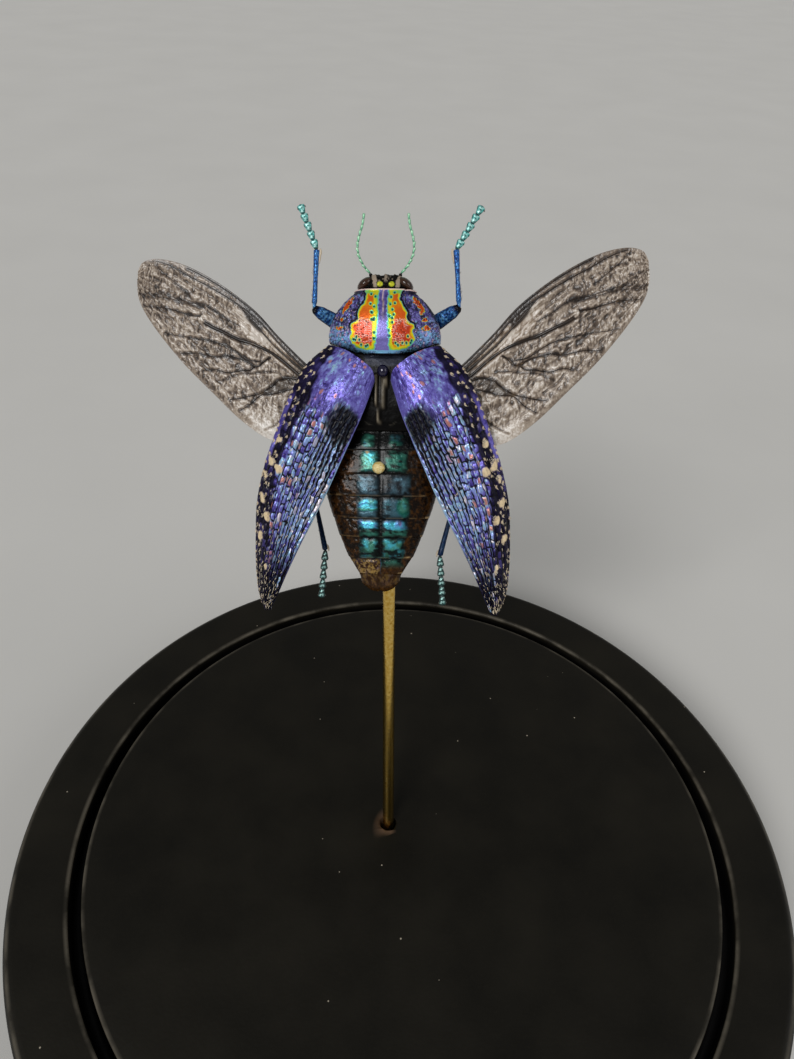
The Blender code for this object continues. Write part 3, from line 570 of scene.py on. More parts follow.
# Base: turned wood with a groove for a dome, and the hole that the rod stands in
woodBase = {"radius": 51.0, "height": 12.0, "edgeRound": 1.4, "footChamfer": 0.8, "grooveOuter": 43.5,
            "grooveInner": 41.9, "grooveDepth": 3.5, "grooveRound": 0.28, "steps": 256, "holeRadius": 1.05,
            "holeDepth": 7.3, "chip": 0.18, "paint": "#110f09", "fadedPaint": "#1b1810", "wornEdgeAndHighlight": "#6e675a",
            "grooveShadeBlack": "#040303", "rawWood": "#5a4636", "dust": "#a89e8c"}
rod = {"foot": (-2.32, 0.76, 12.0), "way": (-0.050, 0.304, 0.951), "radius": 0.75, "sunk": 7.0, "reach": 50.5,
       "sides": 64, "tarnish": "#8a6420", "brass": "#d0a648", "bright": "#ecce7c"}


def baseRings(cfg):
    top, floor = cfg["height"], cfg["height"] - cfg["grooveDepth"]
    rings = [(r, top) for r in (0.6, 1.2, 2.0, 3.0, 4.5, 7, 11, 16, 22, 28, 34, 39)]
    for edge, way in ((cfg["grooveInner"], -1), (cfg["grooveOuter"], 1)):
        lip = []
        for step in range(5):
            turn = math.radians(90 * step / 4)
            lip.append((edge + way * cfg["grooveRound"] * (1 - math.sin(turn)),
                        top - cfg["grooveRound"] * (1 - math.cos(turn))))
        wall = [(edge, floor + 2.0), (edge, floor + 0.4), (edge + way * -0.1, floor)]
        rings += lip + wall if way < 0 else wall[::-1] + lip[::-1]
    rings += [(45.5, top), (47.5, top)]
    for step in range(9):
        turn = math.radians(90 * step / 8)
        rings.append((cfg["radius"] - cfg["edgeRound"] * (1 - math.sin(turn)),
                      top - cfg["edgeRound"] * (1 - math.cos(turn))))
    rings += [(cfg["radius"], z) for z in (8.5, 6, 3.5, 1.6, cfg["footChamfer"])]
    rings += [(cfg["radius"] - cfg["footChamfer"], 0.0), (30, 0.0), (8, 0.0)]
    return rings


def makeBase(cfg):
    rings = np.array(baseRings(cfg))
    angle = np.linspace(0, 2 * math.pi, cfg["steps"], endpoint=False)
    grid = np.stack([np.outer(rings[:, 0], np.cos(angle)), np.outer(rings[:, 0], np.sin(angle)),
                     np.broadcast_to(rings[:, 1:], (len(rings), cfg["steps"]))], -1)
    points, faces = ringBody(grid)
    material = paintedWood(cfg)
    base = addMesh("turnedBase", points, faces, {}, material)
    way = np.array(rod["way"]) / np.linalg.norm(rod["way"])
    stops = np.concatenate([np.linspace(-cfg["holeDepth"], -1.0, 8), np.linspace(-0.8, 0.5, 10), [2.5, 4.0]])
    path = np.array(rod["foot"]) + stops[:, None] * way
    cutter = limb(path, np.full(len(stops), cfg["holeRadius"]), np.full(len(stops), cfg["holeRadius"]), 48, (0, 1, 0))
    centre = path[:, None]
    angle = np.broadcast_to(np.arange(48) / 48 * 9, cutter.shape[:2])
    ragged = cloud(angle, np.broadcast_to(stops[:, None] * 2.2, angle.shape), 5)
    ragged = ragged * ease(-0.9, 0.2, stops)[:, None] * cfg["chip"] * ease(8.6, 7.0, angle)
    cutter = centre + (cutter - centre) * (1 + ragged[..., None])
    points, faces = ringBody(cutter)
    tool = addMesh("holeCutter", points, faces, {}, material)
    cut = base.modifiers.new("rodHole", "BOOLEAN")
    cut.solver = "EXACT"
    cut.object = tool
    graph = bpy.context.evaluated_depsgraph_get()
    base.data = bpy.data.meshes.new_from_object(base.evaluated_get(graph), depsgraph=graph)
    base.modifiers.clear()
    bpy.data.objects.remove(tool)
    place = np.zeros(len(base.data.vertices) * 3)
    base.data.vertices.foreach_get("co", place)
    place = place.reshape(-1, 3) / mm
    radius = np.hypot(place[:, 0], place[:, 1])
    inGroove = (radius > cfg["grooveInner"] - 0.05) & (radius < cfg["grooveOuter"] + 0.05)
    # painted shade: the groove's walls darken towards its floor
    grooveShade = np.where(inGroove, ease(cfg["height"] - 0.35, cfg["height"] - 1.1, place[:, 2]), 0.0)
    foot = np.array(rod["foot"])
    hole = np.hypot(place[:, 0] - foot[0], place[:, 1] - foot[1] + 0.15)
    raw = ease(2.0, 1.1, hole) * ease(cfg["height"] - 2.5, cfg["height"] - 0.1, place[:, 2]) * (place[:, 0] < foot[0] + 0.5)
    for label, values in (("grooveShade", grooveShade), ("raw", raw)):
        layer = base.data.attributes.new(label, "FLOAT", "POINT")
        layer.data.foreach_set("value", values.astype(np.float32))
    finishPiece(base, "black_wood", "base")


def makeRod(cfg):
    way = np.array(cfg["way"]) / np.linalg.norm(cfg["way"])
    stops = np.array([-cfg["sunk"], 0.15 - cfg["sunk"], 10, 20, 30, 40, cfg["reach"] - 0.15, cfg["reach"]])
    radii = np.full(len(stops), cfg["radius"])
    radii[[0, -1]] -= 0.12
    grid = limb(np.array(cfg["foot"]) + stops[:, None] * way, radii, radii, cfg["sides"], (0, 1, 0))
    finishPiece(addMesh("brassRod", *ringBody(grid), {}, drawnBrass(cfg)), "brass_rod", "brass_rod")


makeBase(woodBase)
makeRod(rod)
print("base and rod made")

# Pronotum: the shield behind the head, lilac with two metallic blotches
pronotum = {
    "rings": ((9.75, 0, 0.2, 0), (9.70, 3.05, 1.75, 1.9), (9.35, 3.45, 2.15, 2.3), (8.45, 4.45, 2.75, 2.8),
              (7.45, 5.25, 3.15, 3.1), (6.45, 5.80, 3.40, 3.2), (5.35, 6.10, 3.50, 3.2), (4.45, 6.15, 3.50, 3.1),
              (3.95, 5.95, 3.40, 2.9), (3.45, 4.55, 3.30, 2.5), (2.95, 3.10, 3.15, 1.8), (2.70, 1.80, 3.00, 0.8),
              (2.65, 0, 2.2, 0)),
    "coxa": ((1.95, 4.75, -3.2), (0.85, 0.80, 1.05)),
    "rows": 200, "columns": 300, "topShare": 0.78, "middle": -0.06,
    "blotch": ((0.44, 9.75), (0.43, 7.3), (0.50, 5.5), (0.62, 4.2), (0.9, 3.05), (1.9, 3.0), (2.9, 3.45),
               (3.55, 4.3), (3.30, 5.0), (3.40, 5.75), (2.66, 6.25), (2.62, 7.2), (1.98, 8.15), (1.80, 9.0), (2.0, 9.7)),
    "pitRows": ((0.84, 8.75), (0.86, 7.8), (1.12, 7.2), (1.16, 6.9), (0.82, 6.5), (1.02, 6.1), (1.1, 6.35), (0.78, 5.0),
                (0.82, 4.4), (1.25, 9.15), (1.3, 8.0), (2.2, 3.75), (2.95, 4.0), (1.5, 3.7), (1.72, 3.55), (2.75, 4.5),
                (3.1, 4.15), (2.5, 4.0)),
    # film thickness to colour
    "layers": [(0.0, "#231b46"), (0.12, "#5d529f"), (0.24, "#8a83cc"), (0.34, "#86b8ec"), (0.43, "#63d6b4"),
               (0.51, "#a4de3c"), (0.61, "#f4e222"), (0.76, "#f6941a"), (0.88, "#e85a20"), (1.0, "#cc4426")],
    "drift": 0.05, "driftMm": 0.9, "grainMm": 0.2, "grainDark": 0.12, "black": "#08060e", "pale": "#f0d3c6",
    "copper": "#e0763c", "metal": 0.3, "rough": 0.3, "bumpMm": 0.03, "coat": 0.15, "pitMm": 0.42}


def makePronotum(cfg):
    grid = trunk(cfg["rings"], cfg["rows"], cfg["columns"], cfg["topShare"])
    x, y, z = grid[..., 0] - cfg["middle"], grid[..., 1], grid[..., 2]
    aside, back = np.abs(x), ease(-0.4, 0.6, z)
    slow, quick = fineCloud(x * 1.3, y * 1.3, 3) - 0.5, cloud(x * 5, y * 5, 4) - 0.5
    inside = depthInside(aside + slow * 0.3 + quick * 0.16, y + slow * 0.3 - quick * 0.12, cfg["blotch"])
    isIn = (inside > 0) & (z > 0)
    rim = blend(0.22, 0.55, np.maximum(ease(1.45, 0.9, aside), ease(3.95, 3.3, y)))
    spread = inside / rim
    film = np.interp(spread, [0, 0.12, 0.3, 0.5, 0.9, 1.15], [0.36, 0.44, 0.52, 0.60, 0.64, 0.76])
    heart = spot(aside, y, (1.9, 6.9), (0.75, 0.75), 0.6) + spot(aside, y, (1.35, 8.5), (0.3, 0.8), 0.6)
    film += np.clip(heart, 0, 1) * 0.10 * (spread > 1.1)
    film = np.where((y > 9.1) & (spread > 0.3), 0.58 - 0.1 * ease(1.1, 1.7, aside), film)
    coral = ease(6.3, 6.0, y + slow * 0.5) * ease(3.45, 3.85, y + quick * 0.4) * ease(0.30, 0.50, inside)
    coral *= ease(0.98, 1.18, aside - quick * 0.2)
    film = blend(film, 0.99, coral)
    near, second, number = cells(x * 4.3, y * 4.3, 11)
    net = coral * ease(0.20, 0.05, second - near) * ease(0.32, 0.5, cloud(x * 2.4, y * 2.4, 8))
    fringe = ease(0.28, 0.12, np.abs(y - 6.15 + slow * 0.5)) * isIn * ease(1.1, 1.5, aside)
    net = np.maximum(net, fringe * ease(0.30, 0.08, second - near))
    pale = net * 0.72
    dark = np.maximum(coral, fringe) * (number > 0.74) * ease(0.30, 0.18, near) * 0.9
    for pitX, pitY in cfg["pitRows"]:  # the dark pits in the yellow rim, a little different on each side
        shift = 0.14 * np.sign(x) * math.sin(pitY * 9)
        pit = back * spot(aside, y, (pitX - shift * 0.5, pitY + shift), (0.10, 0.13))
        dark = np.maximum(dark, pit * 0.95)
        film = blend(film, 0.42, back * spot(aside, y, (pitX - shift * 0.5, pitY + shift), (0.19, 0.22)))
    line = ease(0.16, 0.06, np.abs(inside + 0.10)) * ease(1.5, 1.9, aside) * ease(4.6, 5.6, y)
    dark = np.maximum(dark, line * back)
    # rough lilac sides: flecks with black lines between them, cyan low down
    flank = np.where(inside > 0, 0, ease(0.0, -0.15, inside)) * back * ease(0.55, 0.8, aside)
    near, second, number = cells(x * 4.3 + slow * 2, y * 3.4 + slow * 2, 31, 0.95)
    fleck = np.interp(number, [0, 0.4, 0.8, 1], [0.05, 0.17, 0.26, 0.33])
    low = ease(6.2, 5.0, y + slow) * ease(2.8, 4.0, aside)
    fleck = blend(fleck, np.interp(number, [0, 0.3, 0.6, 1], [0.2, 0.27, 0.32, 0.36]), low)
    stripe = ease(0.5, 0.35, aside) * ease(9.8, 9.2, y)
    film = np.where(isIn, film, blend(blend(0.21, 0.15 + quick * 0.1, ease(5.6, 7.0, y)), fleck, flank))
    seams = flank * ease(0.24, 0.06, second - near) * ease(0.30, 0.50, cloud(x * 1.4, y * 1.4, 35) + low * 0.15)
    soot = flank * ease(0.50, 0.68, fineCloud(x * 3.4, y * 3.4, 37)) * (1 - low * 0.6)
    dark = np.maximum(dark, np.maximum(seams * 0.92, soot * 0.9))
    glow = flank * (number < 0.2 + 0.12 * low) * ease(0.42, 0.18, near)
    pale = np.maximum(pale, glow * 0.62)
    dark = np.maximum(dark, stripe * ease(5.8, 7.2, y) * 0.6 * ease(0.5, 0.7, fineCloud(x * 4, y * 2.5, 21)))
    pale = np.maximum(pale, ease(0.10, 0.04, np.abs(x + slow * 0.12)) * ease(6.0, 7.0, y) * back * 0.75)
    # orange patches on the sides
    slant = (aside - 3.75) * 0.6 - (y - 8.05) * 0.8, (aside - 3.75) * 0.8 + (y - 8.05) * 0.6
    patch = spot(slant[0] + slow * 0.5, slant[1] + quick * 0.3, (0, 0), (0.95, 0.26), 0.3)
    for centre, half in (((4.65, 5.45), (0.36, 0.22)), ((4.45, 6.35), (0.2, 0.22)), ((4.2, 7.2), (0.16, 0.3))):
        patch = np.maximum(patch, spot(aside + slow * 0.5 + quick * 0.3, y + quick * 0.3, centre, half))
    patch *= back * ~isIn
    film = blend(film, 0.62 + 0.28 * ease(0.3, 0.8, patch), ease(0.1, 0.3, patch))
    dark *= 1 - ease(0.1, 0.4, patch) * 0.85
    # dark olive-brown front corners, cream front edge, black rear edge and underside
    corner = ease(3.62, 3.9, aside - (9.15 - y) * 0.62 + slow * 0.3) * ease(5.6, 6.4, y) * back
    corner = np.maximum(corner, ease(2.2, 2.7, aside + quick * 0.3) * ease(8.9, 9.2, y) * back)
    dark = np.maximum(dark, corner * 0.93)
    pale = pale * (1 - corner)
    dark = np.maximum(dark, (1 - back) * 0.8)
    collar = ease(0.11, 0.05, np.abs(y - 9.62)) * ease(-0.6, 0.3, z)
    pale = np.maximum(pale, collar * 0.95)
    rear = [(w, yy) for yy, w, rise, fall in cfg["rings"][8:-1]] + [(0, 2.66)]
    toRear = toLine(aside, y, rear)[0]
    film = np.where((toRear < 0.42) & (y < 4.3) & (aside < 3.7) & (z > 0), 0.35, film)
    dark = np.maximum(dark * (toRear > 0.12), ease(0.14, 0.08, toRear) * ease(4.6, 4.0, y)) * (1 - collar)
    height = -0.07 * seams - 0.06 * (dark > 0.6) * isIn + 0.03 * net + flank * quick * 0.06 + collar * 0.06
    body = ringBody(lifted(grid, height))
    flat = {"film": film, "dark": dark, "pale": pale, "pits": flank * (1 - corner) * 0.8}
    masks = {label: np.append(np.clip(values, 0, 1), [0, 0]) for label, values in flat.items()}
    bodies = [(placed(body[0]), body[1], masks)]
    for sign in sides.values():
        (cx, cy, cz), half = cfg["coxa"]
        hip = ringBody(oval((sign * cx, cy, cz), half))
        bodies.append((placed(hip[0]), hip[1], {"dark": 0.85}))
    piece = addMesh("pronotumShield", *joined(bodies), layeredCuticle("paintedJewelCuticle", cfg))
    finishPiece(piece, "pronotum_cuticle", "pronotum")


makePronotum(pronotum)
print("pronotum made")

# Head, eyes and the black bead between the wing cases
head = {
    "rings": ((11.50, 0, -0.6, 0), (11.42, 1.30, 0.55, 1.9), (11.10, 1.95, 1.00, 2.5), (10.65, 2.35, 1.30, 2.8),
              (10.20, 2.55, 1.45, 2.6), (9.92, 2.60, 1.50, 2.2), (9.86, 0, 0.2, 0)),
    "stripes": (((-1.0, 9.9), (-1.1, 10.6), (-1.25, 11.4)), ((1.36, 9.9), (1.45, 10.6), (1.75, 11.3))),
    "dots": ((-0.52, 10.25), (0.74, 10.25)),
    "layers": [(0.0, "#120e0c"), (0.3, "#3a2c22"), (0.6, "#a8c830"), (0.9, "#e4dc3c")], "drift": 0.1,
    "driftMm": 0.6, "grainMm": 0.2, "grainDark": 0.5, "black": "#060505", "pale": "#e3cdb4", "metal": 0.1,
    "rough": 0.3, "bumpMm": 0.04}
eyes = {"place": (2.18, 10.42, 0.25), "half": (1.02, 0.60, 1.10), "slopeDegrees": -38,
        "layers": [(0.0, "#140a05"), (1.0, "#4a2c18")], "drift": 0.3, "driftMm": 0.5, "grainMm": 0.3, "grainDark": 0.2,
        "black": "#0c0604", "metal": 0.0, "rough": 0.18, "bumpMm": 0.01, "coat": 0.6, "specular": 0.4}
scutellum = {"place": (0.0, 0.95, 2.68), "half": (0.62, 0.68, 0.62), "layers": [(0.0, "#07060a"), (1.0, "#1c1834")],
             "drift": 0.4, "driftMm": 0.8, "grainMm": 0.3, "grainDark": 0.2, "black": "#040406", "metal": 0.2,
             "rough": 0.16, "bumpMm": 0.008, "coat": 0.7, "specular": 0.4}
pinHead = {"place": (-0.35, -9.4, 2.80), "half": (0.68, 0.68, 0.64), "enamel": "#f4e2a6", "shade": "#d8b662"}


def makeHead(cfg, eyeCfg):
    grid = trunk(cfg["rings"], 90, 140, 0.7)
    x, y, z = grid[..., 0], grid[..., 1], grid[..., 2]
    quick, top = cloud(x * 5, y * 5, 60) - 0.5, ease(-0.3, 0.5, z)
    pale, film, dark = np.zeros(x.shape), np.zeros(x.shape), np.full(x.shape, 0.5)
    for stripe in cfg["stripes"]:
        pale = np.maximum(pale, ease(0.27, 0.17, toLine(x + quick * 0.15, y, stripe)[0]) * top)
    bits = ease(0.55, 0.8, cloud(x * 5, y * 3.4, 62)) * ease(1.0, 0.8, np.abs(x - 0.15))
    pale = np.maximum(pale, 0.8 * np.maximum(ease(0.17, 0.06, np.abs(x - 0.15 + quick * 0.4)), bits) * ease(10.4, 10.7, y) * top)
    for centre in cfg["dots"]:
        mark = spot(x, y, centre, (0.34, 0.33), 0.25) * top
        film = np.maximum(film, mark * (0.65 + 0.2 * ease(0.5, 0.9, mark)))
        dark = np.minimum(dark, 1 - mark)
        pale = np.minimum(pale, 1 - mark)
    height = (fineCloud(x * 4, y * 4, 61) - 0.5) * 0.14 + pale * 0.06
    height -= 0.12 * ease(0.35, 0.15, np.abs(np.abs(x - 0.15) - 0.5)) * top * ease(10.6, 11.0, y)
    body = ringBody(lifted(grid, height))
    masks = {k: np.append(np.clip(v, 0, 1), [0, 0]) for k, v in {"pale": pale, "film": film, "dark": dark}.items()}
    bodies = [(placed(body[0]), body[1], masks)]
    for side in (-1, 1):  # jaws and the rims of the antenna sockets
        jaw, socket = ((side * 0.55, 11.35, -1.3), (0.42, 0.30, 0.55)), ((side * 1.62, 11.42, 0.2), (0.2, 0.2, 0.2))
        for centre, half in (jaw, socket):
            lump = ringBody(oval(centre, half, 20, 12))
            bodies.append((placed(lump[0]), lump[1], {"dark": 0.6}))
    finishPiece(addMesh("headCapsule", *joined(bodies), layeredCuticle("blackHeadCuticle", cfg)), "head_cuticle", "head")
    eyeFinish = layeredCuticle("facetedEyeCuticle", eyeCfg)
    for side, sign in sides.items():
        ex, ey, ez = eyeCfg["place"]
        slope = Matrix.Rotation(math.radians(eyeCfg["slopeDegrees"] * sign), 3, "Z")
        grid = oval((0, 0, 0), eyeCfg["half"], 96, 64) @ np.array(slope).T + np.array((sign * ex, ey, ez))
        column, row = np.meshgrid(np.arange(96) * 0.5, np.arange(64) * 0.5)
        facet = cells(column, row, 9, 0.2)[0]
        body = ringBody(lifted(grid, -facet * 0.03))
        film = np.append(1 - facet.ravel(), [0.5, 0.5])
        piece = addMesh("compoundEye_" + side, placed(body[0]), body[1], {"film": film}, eyeFinish)
        finishPiece(piece, "eye", "eye_" + side)


def makeBeads():
    body = ringBody(oval(scutellum["place"], scutellum["half"], 64, 40))
    # painted light: the bead's film rises towards its top, so its upper half is lighter
    film = ease(0.0, 0.6, (body[0][:, 2] - scutellum["place"][2]) / 0.6)
    piece = addMesh("scutellumBead", placed(body[0]), body[1], {"film": film}, layeredCuticle("blackBeadCuticle", scutellum))
    finishPiece(piece, "scutellum_cuticle", "scutellum")
    grid = oval(pinHead["place"], pinHead["half"], 48, 32)
    body = ringBody(lifted(grid, (fineCloud(grid[..., 0] * 3, grid[..., 1] * 3, 3) - 0.5) * 0.12))
    piece = addMesh("pinHeadBead", placed(body[0]), body[1], {}, enamelBead(pinHead))
    finishPiece(piece, "pin_bead", "pin_head")


makeHead(head, eyes)
makeBeads()
print("head, eyes and beads made")

# Thorax: black back with two tan ridges, seen in the V between the wing cases
thorax = {
    "rings": ((2.35, 0, 0.6, 0), (2.40, 1.80, 1.90, 1.2), (2.62, 3.10, 1.90, 2.4), (3.10, 4.55, 1.80, 3.0),
              (3.30, 5.60, 1.40, 3.4), (2.30, 6.10, 1.75, 3.9), (0.20, 6.30, 1.95, 4.4), (-2.40, 6.45, 2.00, 4.7),
              (-4.60, 6.40, 1.75, 4.6), (-5.45, 5.90, 1.45, 4.2), (-5.05, 4.90, 0.95, 3.5), (-4.90, 0, 0, 0)),
    "coxae": ((1.70, -0.60, -4.4), (1.70, -4.30, -4.3)), "coxaHalf": (0.85, 0.80, 1.0),
    "ridges": (((-0.84, 0.5), (-0.76, -2.0), (-0.50, -5.0), 0.15), ((0.20, 0.5), (0.08, -1.8), (-0.36, -5.0), 0.16)),
    "marks": (((-1.95, -4.45), (-1.55, -4.75), (-1.25, -4.78)), ((0.75, -4.80), (1.1, -4.72), (1.4, -4.42))),
    "layers": [(0.0, "#100d0a"), (0.35, "#38291b"), (0.6, "#2b2f38"), (1.0, "#474b5e")], "drift": 0.2,
    "driftMm": 0.9, "grainMm": 0.25, "grainDark": 0.5, "black": "#040404", "copper": "#b3a68e", "pale": "#d8ccb4",
    "metal": 0.1, "rough": 0.32, "bumpMm": 0.02, "specular": 0.1, "coat": 0.03}


def makeThorax(cfg):
    grid = trunk(cfg["rings"], 170, 200, 0.6)
    x, y, z = grid[..., 0], grid[..., 1], grid[..., 2]
    top = ease(0.0, 0.9, z)
    plate = ease(1.3, 1.7, y) * top * ease(2.6, 1.8, np.abs(x))
    film = blend(0.1 + 0.25 * fineCloud(x, y, 71), 0.9, plate)
    dark = 0.96 - plate * (0.62 + 0.3 * (fineCloud(x * 2, y * 3, 70) - 0.5))
    tan, pale, height = np.zeros(x.shape), np.zeros(x.shape), (fineCloud(x * 2.5, y * 2.5, 72) - 0.5) * 0.06
    for *line, half in cfg["ridges"]:
        away, share = toLine(x, y, line)
        width = half * (1.3 - 1.2 * share)
        ridge = ease(width + 0.06, width - 0.04, away) * top * ease(1.0, 0.6, y) * ease(1.0, 0.9, share)
        tan = np.maximum(tan, ridge * blend(0.9, 0.75, share) * (0.6 + 0.5 * cloud(x * 6, y * 1.2, 74)))
        height += ridge * 0.22
    between = ease(0.24, 0.1, np.abs(x + 0.32)) * top * ease(-3.6, -2.6, y) * ease(0.9, 0.5, y)
    tan = np.maximum(tan, between * 0.12)
    for line in cfg["marks"]:
        pale = np.maximum(pale, ease(0.08, 0.03, toLine(x, y, line)[0]) * top)
    dark = dark * (1 - tan)
    side = ease(0.3, -0.8, z)
    film, dark = blend(film, 0.3, side), blend(dark, 0.45, side)
    near = cells(x * 1.8, y * 1.8 + z, 73)[0]
    height -= side * ease(0.4, 0.1, near) * 0.05
    body = ringBody(lifted(grid, height))
    flat = {"film": film, "dark": dark, "copper": tan, "pale": pale}
    masks = {k: np.append(np.clip(v, 0, 1), [0, 0]) for k, v in flat.items()}
    bodies = [(placed(body[0]), body[1], masks)]
    for cx, cy, cz in cfg["coxae"]:
        for sign in sides.values():
            hip = ringBody(oval((sign * cx, cy, cz), cfg["coxaHalf"]))
            bodies.append((placed(hip[0]), hip[1], {"dark": 0.6, "film": 0.2}))
    piece = addMesh("thoraxCase", *joined(bodies), layeredCuticle("blackThoraxCuticle", cfg))
    finishPiece(piece, "thorax_cuticle", "thorax")


makeThorax(thorax)
print("thorax made")

# Abdomen: metallic pads in two columns on each ring, with amber brown sides and a golden tip
abdomen = {
    "shift": -0.2, "front": ((-4.60, 0, 0, 0), (-4.65, 5.0, 1.05, 3.3), (-5.60, 5.75, 1.35, 4.0)),
    "edges": ((-7.50, 6.55, 1.75, 4.15), (-10.10, 6.75, 2.00, 4.20), (-12.60, 6.20, 1.95, 4.05),
              (-15.10, 5.40, 1.80, 3.70), (-17.20, 4.65, 1.60, 3.20), (-19.60, 3.60, 1.30, 2.50),
              (-21.40, 2.45, 1.00, 1.75)),
    "tip": (-23.60, 0, 0, 0), "ledge": 0.07, "rowsPerRing": 24, "columns": 220, "middle": -0.2,
    # each ring's pads: left from, left to, right from, right to, colour left and right, black share left and right
    "pads": ((0.75, 2.0, 0.9, 2.2, 0.50, 0.40, 0.25, 0.62), (0.35, 2.3, 0.45, 2.8, 0.56, 0.46, 0.10, 0.38),
             (0.2, 2.5, 0.3, 3.2, 0.14, 0.08, 0.05, 0.30), (0.35, 2.4, 0.3, 3.2, 0.70, 0.22, 0.0, 0.25),
             (0.25, 2.3, 0.3, 2.9, 0.74, 0.78, 0.05, 0.05), (0.25, 2.2, 0.25, 2.6, 0.62, 0.62, 0.1, 0.1),
             (0.15, 2.6, 0.3, 2.4, 1.0, 0.50, 0.1, 0.65), (0.1, 1.5, 0.1, 1.5, 1.0, 1.0, 0.3, 0.3)),
    "layers": [(0.0, "#252c33"), (0.14, "#4d6a78"), (0.28, "#3f6a78"), (0.42, "#17695a"), (0.56, "#4d8f7c"),
               (0.70, "#52c6dc"), (0.80, "#6aa6e4"), (0.90, "#8279ac"), (1.0, "#a5854a")],
    "drift": 0.10, "driftMm": 0.7, "grainMm": 0.25, "grainDark": 0.3, "black": "#050606", "copper": "#5e3a14",
    "pale": "#cfae7c", "metal": 0.35, "rough": 0.24, "bumpMm": 0.03, "specular": 0.15, "coat": 0.12}


def abdomenRings(cfg):
    knots = list(cfg["front"]) + list(cfg["edges"])
    y, wide, rise, fall = cfg["edges"][-1]
    for part in (0.5, 0.8, 0.95):
        roundOff = math.sqrt(1 - part**2)
        knots.append((y + (cfg["tip"][0] - y) * part, wide * roundOff, rise * roundOff, fall * roundOff))
    knots.append(cfg["tip"])
    first, last = len(cfg["front"]) - 1, len(knots) - 1
    steps = [(0, 0.0, 0.3 + k * 0.17) for k in range(10)]
    for ring in range(len(cfg["edges"])):
        steps += [(ring, share, first + ring + share * 0.985) for share in np.linspace(0, 1, cfg["rowsPerRing"])]
    steps += [(len(cfg["edges"]), share, first + len(cfg["edges"]) + share * 3.9) for share in np.linspace(0, 0.98, 24)]
    steps = np.array(steps)
    return onCurve(knots, steps[:, 2] / last), steps[:, 0].astype(int), steps[:, 1]


